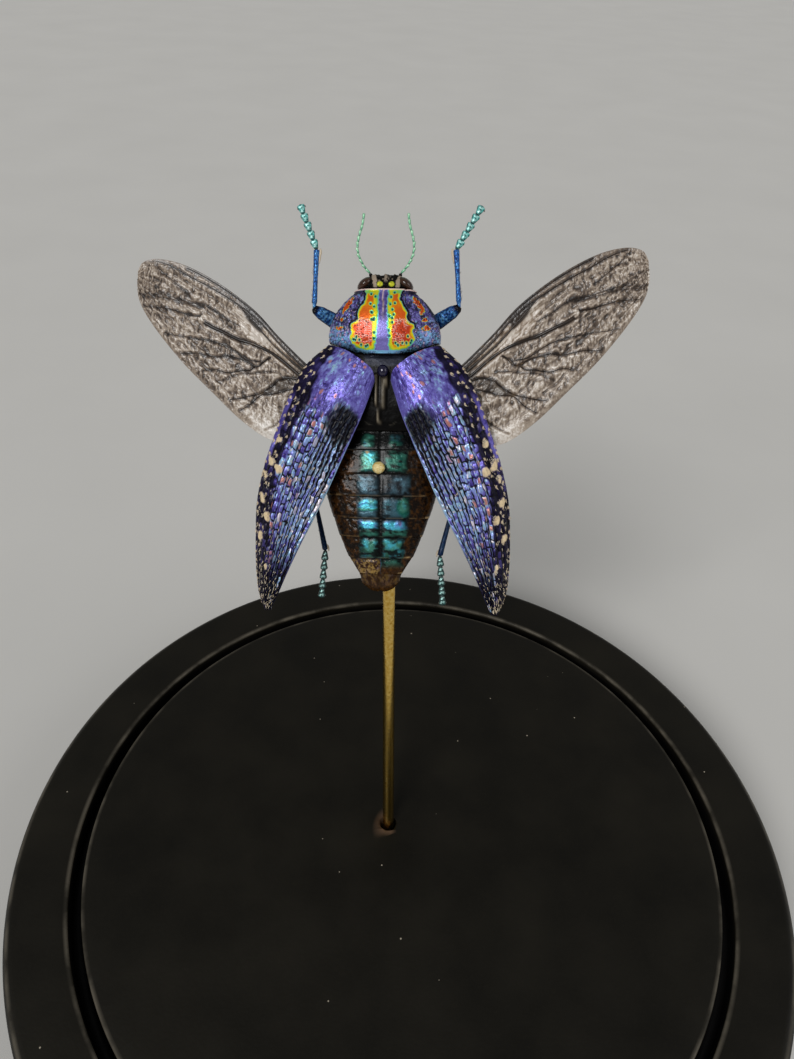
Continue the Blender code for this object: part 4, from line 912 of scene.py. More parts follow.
def makeAbdomen(cfg):
    rings, ring, share = abdomenRings(cfg)
    out, over = roundSection(cfg["columns"], 0.72)
    x = cfg["shift"] + np.outer(rings[:, 1], out)
    y = np.broadcast_to(rings[:, :1], x.shape)
    z = np.where(over > 0, np.outer(rings[:, 2], over), np.outer(rings[:, 3], over))
    grid = np.stack([x, y, z], -1)
    ring, share = np.broadcast_to(ring[:, None], x.shape), np.broadcast_to(share[:, None], x.shape)
    slow, quick = fineCloud(x * 1.6, y * 1.6, 81) - 0.5, cloud(x * 6, y * 6, 82) - 0.5
    off, top = x - cfg["middle"], ease(-0.6, 0.5, z)
    data = np.moveaxis(np.array(cfg["pads"])[ring], -1, 0)
    left = off < 0
    start, stop = np.where(left, data[0], data[2]), np.where(left, data[1], data[3]) + slow * 0.5
    aside = np.abs(off)
    across = ease(start - 0.15, start + 0.40, aside + quick * 0.2) * ease(stop + 0.35, stop - 0.65, aside + quick * 0.3)
    pad = across * ease(0.02, 0.26, share + slow * 0.2) * ease(0.99, 0.82, share + slow * 0.2) * top
    film = np.where(left, data[4], data[5]) + slow * 0.34 + quick * 0.10
    black = np.where(left, data[6], data[7])
    atRing = [ring == k for k in range(8)]
    film = np.where(atRing[3] & (share > 0.5), blend(film, 0.2, ease(0.5, 0.75, share + slow * 0.3)), film)
    corner = spot(aside + slow * 0.8, share + slow * 0.4, (2.7, 0.42), (0.75, 0.4), 0.9) * atRing[3] * (off > 0)
    film = blend(film, 0.70, corner * 0.8)
    film = np.where(atRing[4] & (share > 0.5), blend(film, 0.50, ease(0.45, 0.7, share + slow * 0.3)), film)
    arc = np.hypot((aside - (start + stop) / 2) / (stop - start) * 2, (share + slow * 0.3 - 0.10) / 0.46)
    black = np.where(atRing[5], 0.95 * ease(0.85, 1.15, arc) + 0.5 * ease(0.6, 0.3, arc), black)
    black = np.where(atRing[4], 0.8 * ease(0.45, 0.15, np.abs(arc - 1.25)), black)
    black = np.where(atRing[2] & (share < 0.55), ease(1.1, 0.6, aside) + (off > 0) * ease(1.9, 1.2, aside), black)
    smear = ease(0.48, 0.75, fineCloud(x * 1.5, y * 3.2, 83))
    dark = 1 - pad * (1 - np.clip(black * (1 - corner) * (0.6 + 0.8 * smear) + smear * 0.55, 0, 0.97))
    # dark amber sides, mottled with black
    beside = ease(stop - 0.05, stop + 0.3, aside) * top * (ring > 0)
    mottle = fineCloud(x * 3.1, y * 3.1, 85) + quick * 0.30 + (cloud(x * 13, y * 13, 86) - 0.5) * 0.3
    tail = (ring > 5) * top * ease(0.15, 0.7, share + (ring > 6) + (off < 0) * 0.3)
    amber = np.maximum(beside, tail) * ease(-2.0, -0.5, z)
    soot = 0.95 - 0.5 * ease(0.40, 0.80, mottle) * blend(1.0, 0.5, ease(4.2, 6.2, aside)) - 0.2 * tail
    seam = ease(0.94, 0.975, share) * (ring > 1) * (ring < 7) * ease(0.35, 0.6, cloud(x * 1.5, y, 87))
    pale = seam * top * 0.42
    # painted highlight: glints where the rings' edges overlap at the sides, carried in the pale mask
    glint = ease(0.88, 0.94, share) * (ring > 1) * (ring < 7) * ease(0.6, 0.9, aside / rings[:, 1:2])
    pale = np.maximum(pale, glint * top * ease(0.45, 0.6, cloud(x * 2, y * 2, 88)) * 0.8)
    crumb = spot(x + quick * 0.2, y, (-1.7, -7.75), (0.22, 0.16)) * top  # a crumb of dry tissue
    pale = np.maximum(pale, crumb)
    golden = ((ring == 6) * ease(0.3, -0.3, off) + (ring == 7) * 0.5 * ease(0.5, 0.0, share)) * top
    golden = golden * ease(0.36, 0.56, mottle) * ease(0.0, 0.25, share + (ring == 7))
    film, dark, amber = blend(film, 1.0, ease(0.1, 0.4, golden)), dark * (1 - golden * 0.85), amber * (1 - golden)
    dark = blend(dark, soot, amber) * (1 - np.maximum(pale, crumb))
    under = ease(0.2, -1.0, z)
    film, dark = blend(film, 0.42, under), blend(dark, 0.6, under)
    ledge = cfg["ledge"] * blend(0.35, 1.0, ease(1.0, 0.8, aside / np.maximum(rings[:, 1:2], 0.1)))
    height = ledge * (2 * ease(0.0, 1.0, share) - 1) * (ring < 7) + pad * 0.08 + (mottle - 0.5) * beside * 0.10
    height -= ease(0.22, 0.04, aside) * top * 0.10 + quick * 0.02
    body = ringBody(lifted(grid, height))
    flat = {"film": film, "dark": dark, "copper": amber, "pale": pale}
    masks = {k: np.append(np.clip(v, 0, 1), [0, 0]) for k, v in flat.items()}
    piece = addMesh("abdomenRings", placed(body[0]), body[1], masks, layeredCuticle("tealAbdomenCuticle", cfg))
    finishPiece(piece, "abdomen_cuticle", "abdomen")


makeAbdomen(abdomen)
print("abdomen made")

# Wing cases: ribbed lilac-blue shells with black margins, copper flecks and cream hair tufts
elytron = {
    "seam": ((0.85, -0.10), (1.90, -3.20), (3.20, -6.20), (4.50, -9.10), (5.80, -12.00), (7.20, -14.80),
             (8.80, -17.90), (10.30, -21.00), (11.40, -23.50), (12.30, -25.35)),
    "outer": ((6.10, 3.85), (8.60, 1.50), (10.30, -1.80), (11.75, -5.50), (13.05, -9.20), (13.95, -13.20),
              (14.20, -17.20), (14.20, -20.80), (13.90, -23.40), (13.05, -25.45)),
    "front": ((0.85, -0.10), (1.10, 1.00), (2.05, 1.90), (3.30, 2.75), (4.60, 3.40), (6.10, 3.85)),
    "heights": (2.70, 3.40, 3.70, 3.70, 3.60, 3.40, 3.15, 2.90, 2.70), "crown": 0.95, "drop": 1.75,
    "wide": 7.4, "long": 27.0, "thickness": 0.30, "rows": 481, "columns": 181, "underStep": 6,
    "lanes": 18, "fleckMm": 0.8, "ribHeight": 0.12,
    # where the black margin starts, as a share of the width, at even steps from base to tip
    "margin": (0.87, 0.78, 0.75, 0.76, 0.76, 0.74, 0.68, 0.62, 0.54, 0.40, 0.25),
    "creamSpots": ((0.42, 0.90, 0.42), (0.44, 0.76, 0.46), (0.47, 0.92, 0.34), (0.54, 0.89, 0.42), (0.59, 0.74, 0.50),
                   (0.66, 0.84, 0.46), (0.76, 0.60, 0.38), (0.35, 0.88, 0.30)),
    "layers": [(0.0, "#241b50"), (0.15, "#4f4399"), (0.30, "#766dc6"), (0.46, "#8d90e2"), (0.60, "#a0bcf6"),
               (0.72, "#a8d6f6"), (0.82, "#bcd4ea"), (0.92, "#dcd0f4"), (1.0, "#f8f0f4")],
    "drift": 0.2, "driftMm": 0.3, "grainMm": 0.12, "grainDark": 0.25, "pitMm": 0.34, "black": "#07050c", "copper": "#c98672",
    "pale": "#e6cfa8", "metal": 0.35, "rough": 0.27, "bumpMm": 0.02, "coat": 0.08}
creamSeta = seta("creamSeta", [(0.3, "#c9b391"), (0.7, "#f0e4cc")])


def elytronSurface(cfg, across, along):  # the shell's smooth form, right side
    seam, outer = onCurve(cfg["seam"], along), onCurve(cfg["outer"], along)
    straight = blend(np.array(cfg["seam"][0]), np.array(cfg["outer"][0]), across[..., None])
    flat = blend(seam, outer, across[..., None])
    flat = flat + (onCurve(cfg["front"], across) - straight) * (1 - along[..., None])**5
    height = onCurve([(h,) for h in cfg["heights"]], along)[..., 0]
    taper = np.sqrt(np.minimum(1.0, (1 - along) * 4 + 0.15))
    crown = cfg["crown"] * np.sin(math.pi * across**0.85)
    z = height + (crown - cfg["drop"] * across**3) * taper
    return np.concatenate([flat, z[..., None]], -1)


def marginAt(cfg, along):
    return onCurve([(m,) for m in cfg["margin"]], along)[..., 0]


def tuftSpots(cfg, seed):  # rows of small hair tufts on the black margin: across, along
    dice, spots = np.random.default_rng(seed), []
    for edge, pitch in ((0.975, 0.029), (0.90, 0.032), (0.82, 0.034), (0.70, 0.05), (0.55, 0.05)):
        for place in np.arange(0.02, 0.955, pitch * (1 + 0.6 * (edge < 0.8))):
            across, along = edge + dice.uniform(-0.03, 0.03), place + dice.uniform(-0.011, 0.011)
            if across > marginAt(cfg, np.array(along)) + 0.03 or (edge > 0.95 and along < 0.24):
                spots.append((min(across, 0.985), along))
    return np.array(spots)


def makeElytron(side, sign, cfg, finish):
    seed = 100 if sign > 0 else 300
    across, along = np.meshgrid(np.linspace(0, 1, cfg["columns"]), np.linspace(0, 1, cfg["rows"]))
    surface = elytronSurface(cfg, across, along)
    u, v = across * cfg["wide"], along * cfg["long"]
    slow, quick = fineCloud(u / 1.7, v / 2.6, seed) - 0.5, cloud(u / 0.3, v / 0.5, seed + 1) - 0.5
    rag = cloud(u / 0.13, v / 0.24, seed + 11) - 0.5
    # the pattern's grid: lanes that run along the shell, cut into flecks
    lane = across * cfg["lanes"] + slow * 0.9 + quick * 0.36 + rag * 0.22
    column = np.floor(lane)
    link = v / cfg["fleckMm"] + hashed(column, column * 0, seed + 2) * 5 + slow + quick * 0.4 + rag * 0.2
    row = np.floor(link)
    number, second = hashed(column, row, seed + 3), hashed(column, row, seed + 4)
    toSide, toEnd = 0.5 - np.abs(lane - column - 0.5), 0.5 - np.abs(link - row - 0.5)
    lineAt = np.floor(lane + 0.5)
    shown = hashed(lineAt, np.floor(v / 2.3 + lineAt * 0.37), seed + 5) > 0.17 * ease(0.3, 0.5, across)
    broken = hashed(column, np.floor(link + 0.5), seed + 6) > blend(0.8, 0.3, ease(0.25, 0.45, across))
    inner = ease(0.46, 0.30, across + slow * 0.1) * ease(0.13, 0.16, along) * ease(0.66, 0.22, along)
    striped = ease(0.14, 0.24, along + slow * 0.06)
    striped = np.maximum(striped, inner)
    width = 0.13 + 0.18 * inner + 0.22 * ease(0.50, 0.95, along)  # the black lines widen to the tip
    lines = ease(width + 0.09, width - 0.05, toSide) * shown
    gaps = ease(0.15, 0.06, toEnd) * broken
    dark = np.maximum(lines, gaps) * striped
    fleck = np.interp(number, [0, 0.15, 0.4, 0.65, 0.8, 0.92, 1], [0.06, 0.20, 0.34, 0.46, 0.58, 0.74, 0.96])
    fleck += blend(0.0, 0.10, ease(0.28, 0.35, along) * ease(0.75, 0.6, along)) * ease(0.75, 0.5, across)
    # painted light: each fleck lighter at its upper end and darker at its lower end, like light on a raised bump, and
    # painted sparkles where rag runs high
    fleck = fleck + 0.22 * (0.5 - (link - row)) + quick * 0.16 + rag * 0.26 + ease(0.22, 0.40, rag) * 0.4
    # painted highlight: a thin pale line along one side of each lane, standing in for light on the ribs
    ridge = ease(0.08, 0.02, np.abs(toSide - width - 0.10)) * ease(0.62, 0.35, across) * striped
    ridge *= ease(0.92, 0.55, along)
    fleck = blend(fleck, 0.80 + 0.20 * second, ridge * (hashed(column, row * 0, seed + 8) > 0.3) * 0.9)
    # base: smooth lilac, wrinkled towards the shoulder
    near, wrinkle, other = cells(u / 0.42 + slow * 2, v / 0.66 + slow * 2, seed + 9, 0.95)
    wrinkle = ease(0.15, 0.0, wrinkle - near) * ease(0.40, 0.62, cloud(u / 0.9, v / 1.3, seed + 10))
    smooth = ease(0.16, 0.09, across) * ease(0.22, 0.15, along)
    base = 0.29 + slow * 0.30 + quick * 0.22 + rag * 0.22 + (other > 0.78) * 0.28 * ease(0.34, 0.16, near)
    shoulder = spot(across, along, (0.74, 0.07), (0.2, 0.07), 0.5)
    base = blend(base, 0.42 + quick * 0.5 + rag * 0.4, shoulder)
    film = blend(blend(base, 0.30 + quick * 0.06 + rag * 0.06, smooth), fleck, striped)
    dark = np.maximum(dark, wrinkle * (0.55 + 0.4 * shoulder) * (1 - striped) * (1 - smooth))
    copper = (second > 0.82) * ease(0.12, 0.26, toSide) * ease(0.1, 0.25, toEnd) * striped * ease(0.30, 0.42, across)
    blot = (other < 0.17) * ease(0.40, 0.24, near) * (1 - striped) * (1 - smooth) * ease(0.2, 0.3, across)
    copper = np.maximum(copper, blot * 0.85) * ease(0.9, 0.6, along)
    film = blend(film, 0.86, (second > 0.86) * ease(0.30, 0.14, toSide) * striped * 0.6)
    patch = spot(across + slow * 0.15, along + slow * 0.02, (0.13, 0.205), (0.28, 0.06), 0.2) * ease(0.015, 0.03, across)
    dark = np.maximum(dark, patch * 0.96)
    dark = np.maximum(dark, inner * (number > 0.45) * 0.85 * (1 - ridge))
    dark = np.maximum(dark, ease(0.56, 0.84, along) * 0.95 * (number < 0.86) * (1 - ridge * 0.4))
    edgeLine = ease(0.022, 0.010, across) * ease(0.85, 0.55, along)
    film = blend(film, np.interp(along, [0, 0.2, 0.3, 0.5, 0.8], [0.36, 0.42, 0.62, 0.78, 0.5]), edgeLine)
    dark = dark * (1 - edgeLine) * (1 - copper * 0.9)
    black = ease(-0.02, 0.02, across - marginAt(cfg, along) - slow * 0.10 - quick * 0.03)
    dim = np.where(number > 0.8, 0.72, 0.98) * (1 - (1 - lines) * 0.08)
    strip = ease(0.915, 0.955, across) * ease(0.18, 0.24, along) * ease(0.48, 0.40, along)
    dark = blend(dark, np.maximum(dark, dim), black) * (1 - strip * 0.9)
    film = blend(film, 0.22 * strip + 0.04 + quick * 0.2, np.maximum(strip, black * 0.8))
    copper = copper * (1 - black) * 0.9
    pale = np.zeros(across.shape)
    for spotAcross, spotAlong in tuftSpots(cfg, seed):
        slant = (across - spotAcross) * cfg["wide"], (along - spotAlong) * cfg["long"]
        pale = np.maximum(pale, 0.9 * spot(slant[0] + slant[1] * 0.45, slant[1] - slant[0] * 0.2, (0, 0), (0.10, 0.14), 0.3))
    for spotAlong, spotAcross, radius in cfg["creamSpots"]:
        slant = (across - spotAcross) * cfg["wide"] + quick * 0.3, (along - spotAlong) * cfg["long"] + slow
        pale = np.maximum(pale, spot(slant[0], slant[1] + slant[0] * 0.4, (0, 0), (radius, radius * 0.8), 0.2))
    dark *= 1 - pale
    dome = np.sqrt(toSide * 2) * np.clip(toEnd * 3, 0, 1)
    rib = np.cos(2 * math.pi * lane / 2) * striped
    height = cfg["ribHeight"] * rib * (1 - 0.4 * black) + dome * 0.10 * striped - wrinkle * (1 - striped) * 0.04
    height += slow * 0.14 + quick * 0.03 + pale * 0.09 + ridge * 0.03
    height *= np.minimum(1, np.minimum(across, 1 - across) * 14 + 0.25)
    top = lifted(surface, height, False)
    bottom = surface - np.array([0, 0, cfg["thickness"]])
    teeth = 0.11 * np.abs(np.sin(v[:, -1] * math.pi / 1.05)) * ease(0.25, 0.45, along[:, -1])
    for layer in (top, bottom):
        layer[:, -1, 0] -= teeth
    flip, step = np.array([sign, 1, 1]), cfg["underStep"]
    points, faces = sheetBody(top * flip, bottom * flip, step)
    under = across[::step, ::step].size
    masks = {}
    pits = (1 - striped) * ease(0.2, 0.5, across) * 0.5 + 0.15 * striped
    for label, values, below in (("film", film, 0.06), ("dark", dark, 0.75), ("copper", copper, 0), ("pale", pale, 0),
                                 ("pits", pits, 0)):
        masks[label] = np.append(np.clip(values, 0, 1), np.full(under, below))
    piece = addMesh("wingCase_" + side, placed(points), faces, masks, finish)
    finishPiece(piece, "elytron_cuticle", "elytron_" + side)
    makeTufts(side, sign, cfg, seed)


def makeTufts(side, sign, cfg, seed):  # cream hairs on the margin's tufts, the spots and the tip
    dice, hairs = np.random.default_rng(seed + 1), []
    for across, along in tuftSpots(cfg, seed):
        for hair in range(4):
            hairs.append((across + dice.uniform(-0.012, 0.008), along + dice.uniform(-0.005, 0.005),
                          dice.uniform(0.2, 0.42), dice.uniform(0.3, 0.8)))
    for spotAlong, spotAcross, radius in cfg["creamSpots"]:
        for hair in range(40):
            turn, far = dice.uniform(0, 2 * math.pi), 0.8 * radius * math.sqrt(dice.uniform(0, 1))
            hairs.append((spotAcross + far * math.cos(turn) / cfg["wide"], spotAlong + far * math.sin(turn) / cfg["long"],
                          dice.uniform(0.12, 0.22), 0.4))
    for hair in range(200):  # single short hairs that lie along the lanes, most of them near the tip
        hairs.append((dice.uniform(0.04, 0.95), 0.97 - 0.6 * dice.uniform(0, 1)**1.3, dice.uniform(0.2, 0.4), 0.1))
    across, along, size, lean = np.array(hairs).T
    across, along = np.clip(across, 0.01, 0.99), np.clip(along, 0.01, 0.985)
    at = elytronSurface(cfg, across, along)
    onward = elytronSurface(cfg, across, along + 0.005) - at
    outward = elytronSurface(cfg, across + 0.005, along) - at
    onward /= np.linalg.norm(onward, axis=1, keepdims=True)
    outward /= np.linalg.norm(outward, axis=1, keepdims=True)
    aim = onward * 0.6 + outward * lean[:, None]
    aim[:, 2] += 0.12
    at[:, 2] += 0.10
    flip = np.array([sign, 1, 1])
    piece = growBristles("wingCaseHairs_" + side, at * flip, aim * flip, size, creamSeta, 0.036, 0.12, seed)
    finishPiece(piece, "elytron_cuticle")


elytronFinish = layeredCuticle("violetElytronCuticle", elytron)
for side, sign in sides.items():
    makeElytron(side, sign, elytron, elytronFinish)
print("wing cases made")

# Hindwings: crumpled membranes with their veins, given as shares along and across the wing
hindwing = {
    "leading": ((6.95, 0.40), (9.00, 2.20), (11.90, 5.10), (14.70, 8.10), (18.60, 11.00), (22.40, 13.00),
                (25.40, 13.75), (27.30, 13.45), (28.00, 12.40)),
    "trailing": ((6.95, -4.60), (9.60, -6.60), (12.90, -6.75), (16.30, -4.60), (19.80, -1.25), (23.20, 2.20),
                 (26.30, 6.10), (27.90, 8.90), (28.10, 10.90)),
    "root": (6.95, -1.0), "height": 0.05, "tipRise": 0.5, "pleats": 12, "pleatDepth": 0.09, "rimRise": 0.3,
    "reach": {"left": 0.962, "right": 1.012}, "swingDegrees": {"left": -0.6, "right": 0.9},
    # fleck is how strong the membrane's painted glints are
    "thickness": 0.06, "rows": 300, "columns": 160, "cover": 0.95, "veinScale": 1.9, "fleck": 0.36,
    "tones": [(0.0, "#1c140f"), (0.25, "#4d4036"), (0.5, "#7e6e60"), (0.75, "#b8a897"), (1.0, "#f4ece2")],
    "amber": "#93795c", "cell": "#1c120b", "veinTones": [(0.35, "#120c08"), (0.62, "#2c1e13"), (0.85, "#7d6548")]}
veins = {  # name: thickness at root and end, then (along, across) points
    "costa": (0.14, 0.07, (0.0, 0.015), (0.12, 0.012), (0.24, 0.012), (0.36, 0.015), (0.5, 0.02), (0.62, 0.02)),
    "innerCosta": (0.13, 0.05, (0.0, 0.09), (0.13, 0.07), (0.22, 0.065), (0.31, 0.05), (0.41, 0.06), (0.51, 0.08),
                   (0.61, 0.09), (0.69, 0.06), (0.77, 0.035)),
    "subcosta": (0.13, 0.08, (0.0, 0.15), (0.14, 0.12), (0.25, 0.12), (0.34, 0.115), (0.40, 0.09), (0.43, 0.06)),
    "radius": (0.17, 0.20, (0.0, 0.24), (0.16, 0.20), (0.22, 0.19), (0.28, 0.21), (0.37, 0.29), (0.42, 0.35),
               (0.47, 0.39), (0.51, 0.42), (0.545, 0.435)),
    "radiusTip": (0.12, 0.04, (0.56, 0.40), (0.60, 0.46), (0.66, 0.53), (0.73, 0.65), (0.83, 0.90)),
    "apex": (0.05, 0.04, (0.62, 0.26), (0.68, 0.22), (0.73, 0.17), (0.78, 0.07)),
    "fold": (0.05, 0.04, (0.42, 0.23), (0.47, 0.26), (0.54, 0.27), (0.60, 0.34), (0.66, 0.39), (0.76, 0.52),
             (0.89, 0.82)),
    "foldTwin": (0.04, 0.03, (0.55, 0.30), (0.61, 0.37), (0.67, 0.43), (0.76, 0.56), (0.86, 0.80)),
    "media": (0.08, 0.04, (0.33, 0.38), (0.38, 0.45), (0.43, 0.47), (0.47, 0.50), (0.51, 0.55), (0.56, 0.62),
              (0.63, 0.74), (0.70, 0.90)),
    "hook": (0.13, 0.05, (0.28, 0.25), (0.31, 0.34), (0.33, 0.42), (0.35, 0.45), (0.39, 0.48), (0.45, 0.56),
             (0.50, 0.67), (0.57, 0.78), (0.63, 0.92)),
    "cubitus": (0.10, 0.05, (0.35, 0.46), (0.37, 0.53), (0.40, 0.59), (0.45, 0.71), (0.49, 0.77), (0.54, 0.88)),
    "firstAnal": (0.16, 0.06, (0.06, 0.24), (0.16, 0.27), (0.23, 0.38), (0.26, 0.48), (0.31, 0.63), (0.37, 0.77),
                  (0.43, 0.91)),
    "secondAnal": (0.10, 0.05, (0.08, 0.32), (0.18, 0.42), (0.25, 0.55), (0.31, 0.65), (0.35, 0.80), (0.39, 0.93)),
    "thirdAnal": (0.05, 0.03, (0.25, 0.34), (0.30, 0.42), (0.35, 0.52), (0.41, 0.64), (0.46, 0.80)),
    "lastAnal": (0.05, 0.03, (0.10, 0.50), (0.16, 0.66), (0.22, 0.80), (0.28, 0.93))}
paleHook = ((0.535, 0.43), (0.555, 0.43), (0.56, 0.40), (0.545, 0.375))  # cream bend at the end of the radius
darkCells = {"base": ((0.17, 0.29), (0.24, 0.39), (0.28, 0.52), (0.305, 0.63), (0.25, 0.55), (0.20, 0.45)),
             "stigma": ((0.325, 0.0), (0.405, 0.01), (0.40, 0.12), (0.335, 0.13))}


def wingSurface(cfg, side, across, along):
    swing = math.radians(cfg["swingDegrees"][side])
    turn = np.array([[math.cos(swing), math.sin(swing)], [-math.sin(swing), math.cos(swing)]])
    flat = blend(onCurve(cfg["leading"], along), onCurve(cfg["trailing"], along), across[..., None])
    flat = cfg["root"] + (flat - cfg["root"]) @ turn * cfg["reach"][side]
    pleat = -np.cos(math.pi * cfg["pleats"] * across) * cfg["pleatDepth"] * np.minimum(1, along * 4)
    rim = ease(1.8 / cfg["pleats"], 0.8 / cfg["pleats"], across)
    z = cfg["height"] + cfg["tipRise"] * along + blend(pleat, cfg["rimRise"] * (1 - along), rim)
    return np.concatenate([flat, z[..., None]], -1)


def ridges(u, v, seed):  # sharp-crested noise, 0 in the creases and 1 on the crests
    return 1 - np.abs(cloud(u, v, seed) - 0.5) * 2


def makeHindwing(side, sign, cfg, finish, veinFinish):
    across, along = np.meshgrid(np.linspace(0, 1, cfg["columns"]), np.linspace(0, 1, cfg["rows"]))
    surface = wingSurface(cfg, side, across, along)
    x, y = surface[..., 0], surface[..., 1]
    seed = 500 if sign > 0 else 700
    toVein, lines, edges, thick, start = np.full(across.shape, 9.0), [], [], [], 0
    for first, last, *route in veins.values():
        route = onCurve(np.array(route), np.linspace(0, 1, len(route) * 5))
        line = wingSurface(cfg, side, route[:, 1], route[:, 0])
        radius = np.linspace(first, last, len(line)) * cfg["veinScale"] / 2
        away = toLine(x, y, line[:, :2])[0]
        toVein = np.minimum(toVein, away - radius.mean())
        line[:, 2] += radius * 0.3
        lines.append(line)
        edges += [(start + k, start + k + 1) for k in range(len(line) - 1)]
        thick.append(radius)
        start += len(line)
    # creases: fine ripples across the wing's length, and longer ones that fan out with the veins
    far, over = along * 26, across * 10 * (0.4 + 0.6 * np.sin(math.pi * np.clip(along, 0.1, 0.9)))
    warp = fineCloud(x * 0.9, y * 0.9, seed) * 1.6
    ripple = ridges(far / 0.24 + warp * 2.5, over / 0.6 + warp, seed + 1)
    small = ridges(x / 0.17, y / 0.17, seed + 2)
    fan = ridges(across * 26 + warp * 1.2, far / 5, seed + 3)
    calm = ease(0.86, 0.95, along) * ease(0.6, 0.4, across) + ease(0.78, 0.92, across) * ease(0.42, 0.30, along)
    rough = (1 - 0.75 * np.clip(calm, 0, 1)) * np.minimum(1, np.minimum(across, 1 - across) * 12 + 0.15)
    height = ((ripple - 0.5) * 0.085 + (small - 0.5) * 0.035 + (fan - 0.5) * 0.05) * rough * ease(-0.05, 0.25, toVein)
    raised = lifted(surface, height, False)
    zone = 0.44 + 0.27 * calm + (fineCloud(x * 0.4, y * 0.4, seed + 9) - 0.5) * 0.26
    zone += ease(0.55, 0.95, across) * 0.12 + ease(0.45, 0.2, along) * ease(0.5, 0.8, across) * 0.10
    # painted shade and highlight: the membrane's tone follows its crumples, darker in the creases and lighter on the
    # crests
    tone = zone + ((ripple - 0.60) * 0.62 + (small - 0.5) * 0.20 + (fan - 0.6) * 0.30) * rough
    tone -= ease(0.30, 0.02, toVein) * 0.26
    tone += ease(0.16, 0.02, np.abs(toVein - 0.24)) * 0.16 * ease(0.75, 0.5, along)
    strip = ease(0.13, 0.05, np.abs(across - 0.16)) * ease(0.12, 0.22, along) * ease(0.47, 0.40, along)
    tone += strip * (ridges(across * 60, far / 6, seed + 5) - 0.35) * 1.1
    dark = np.zeros(across.shape)
    for name, corners in darkCells.items():
        deep = depthInside(along, across * 0.7, [(a, c * 0.7) for a, c in corners])
        dark = np.maximum(dark, ease(-0.010, 0.008, deep) * (0.66 if name == "base" else 0.93))
    roots = ridges(across * 34 + warp * 0.5, far / 9, seed + 6)
    dark = np.maximum(dark, ease(0.26, 0.06, along) * ease(0.55, 0.40, across) * ease(0.80, 0.5, roots) * 0.95)
    hook = [wingSurface(cfg, side, np.array(b), np.array(a))[:2] for a, b in paleHook]
    tone += ease(0.17, 0.05, toLine(x, y, hook)[0] + (ripple - 0.5) * 0.1) * 0.5
    half, flip = np.array([0, 0, cfg["thickness"] / 2]), np.array([sign, 1, 1])
    points, faces = sheetBody((raised + half) * flip, (raised - half) * flip)
    flat = {"tone": tone, "amber": strip * 0.35, "dark": dark}
    masks = {k: np.clip(np.tile(v.ravel(), 2), 0, 1) for k, v in flat.items()}
    wing = addMesh("hindwingMembrane_" + side, placed(points), faces, masks, finish)
    finishPiece(wing, "wing_membrane", "hindwing_" + side)
    guide = guideObject("veinGuide", placed(np.vstack(lines) * flip), edges, {}, {"thick": np.concatenate(thick) * mm})
    tubes = grown("hindwingVeins_" + side, guide, trees["veins"], {"Sides": 8, "Finish": veinFinish})
    finishPiece(tubes, "wing_membrane")


membraneFinish, veinFinish = wingMembrane(hindwing), wingVein(hindwing)
for side, sign in sides.items():
    makeHindwing(side, sign, hindwing, membraneFinish, veinFinish)
print("hindwings made")

# Legs: thick thighs, thin shins and five-jointed feet with pads and claws
legPoints = {
    "front_left": ((-2.9, 5.2, -4.0), (-8.2, 8.1, -1.4), (-7.75, 14.4, -1.1), (-9.6, 19.2, -1.0)),
    "front_right": ((2.9, 5.2, -4.0), (8.2, 8.3, -1.4), (7.65, 14.4, -1.1), (10.4, 19.0, -1.0)),
    "middle_left": ((-2.65, -0.9, -5.0), (-7.2, -3.6, -6.4), (-9.2, -9.2, -7.6), (-10.0, -14.3, -7.8)),
    "middle_right": ((2.65, -0.9, -5.0), (7.2, -3.6, -6.4), (9.2, -9.2, -7.6), (10.0, -14.3, -7.8)),
    "hind_left": ((-2.65, -4.9, -4.95), (-9.5, -9.9, -5.3), (-7.15, -19.6, -4.2), (-7.6, -25.4, -4.0)),
    "hind_right": ((2.65, -4.9, -4.95), (9.1, -10.0, -5.3), (6.5, -20.0, -4.2), (6.95, -26.0, -4.0))}
legs = {
    "femur": ((0.0, 0.12, 0.12), (0.03, 0.45, 0.40), (0.25, 0.80, 0.70), (0.55, 0.88, 0.78), (0.85, 0.72, 0.66),
              (0.97, 0.46, 0.42), (1.0, 0.25, 0.25)),
    "tibia": ((0.0, 0.10, 0.10), (0.02, 0.20, 0.19), (0.07, 0.21, 0.20), (0.13, 0.30, 0.27), (0.5, 0.25, 0.25),
              (0.9, 0.32, 0.29), (0.985, 0.34, 0.29), (1.0, 0.16, 0.16)),
    "layers": [(0.0, "#070b22"), (0.25, "#152c6e"), (0.5, "#2c62b8"), (0.75, "#5b9fe0"), (1.0, "#a4dcf6")],
    "drift": 0.25, "driftMm": 0.5, "grainMm": 0.14, "grainDark": 0.35, "black": "#030409", "metal": 0.4,
    "rough": 0.26, "bumpMm": 0.03, "pale": "#d9c8ae"}
feet = {"joints": 5, "lobe": 0.48, "neck": 0.27, "thickness": 0.25, "overlap": 1.28, "clawMm": 0.8,
        "layers": [(0.0, "#123a48"), (0.3, "#2c8c94"), (0.6, "#5cccc4"), (1.0, "#c8faf2")], "drift": 0.6,
        "driftMm": 0.3, "grainMm": 0.12, "grainDark": 0.4, "black": "#06090c", "pale": "#a29a8c", "metal": 0.35,
        "rough": 0.26, "bumpMm": 0.03}
antenna = {"curve": ((1.70, 11.60, 0.30), (2.35, 12.35, 0.35), (2.90, 13.40, 0.40), (3.05, 14.40, 0.40),
                     (2.90, 15.45, 0.35), (2.60, 16.55, 0.25), (2.45, 17.50, 0.15)),
           "joints": 11, "radius": 0.145, "neck": 0.115,
           "layers": [(0.0, "#5a9c7c"), (0.5, "#8fd0a6"), (1.0, "#c4f0cc")], "drift": 0.5, "driftMm": 0.4,
           "grainMm": 0.15, "grainDark": 0.3, "black": "#101a15", "metal": 0.3, "rough": 0.35, "bumpMm": 0.02}


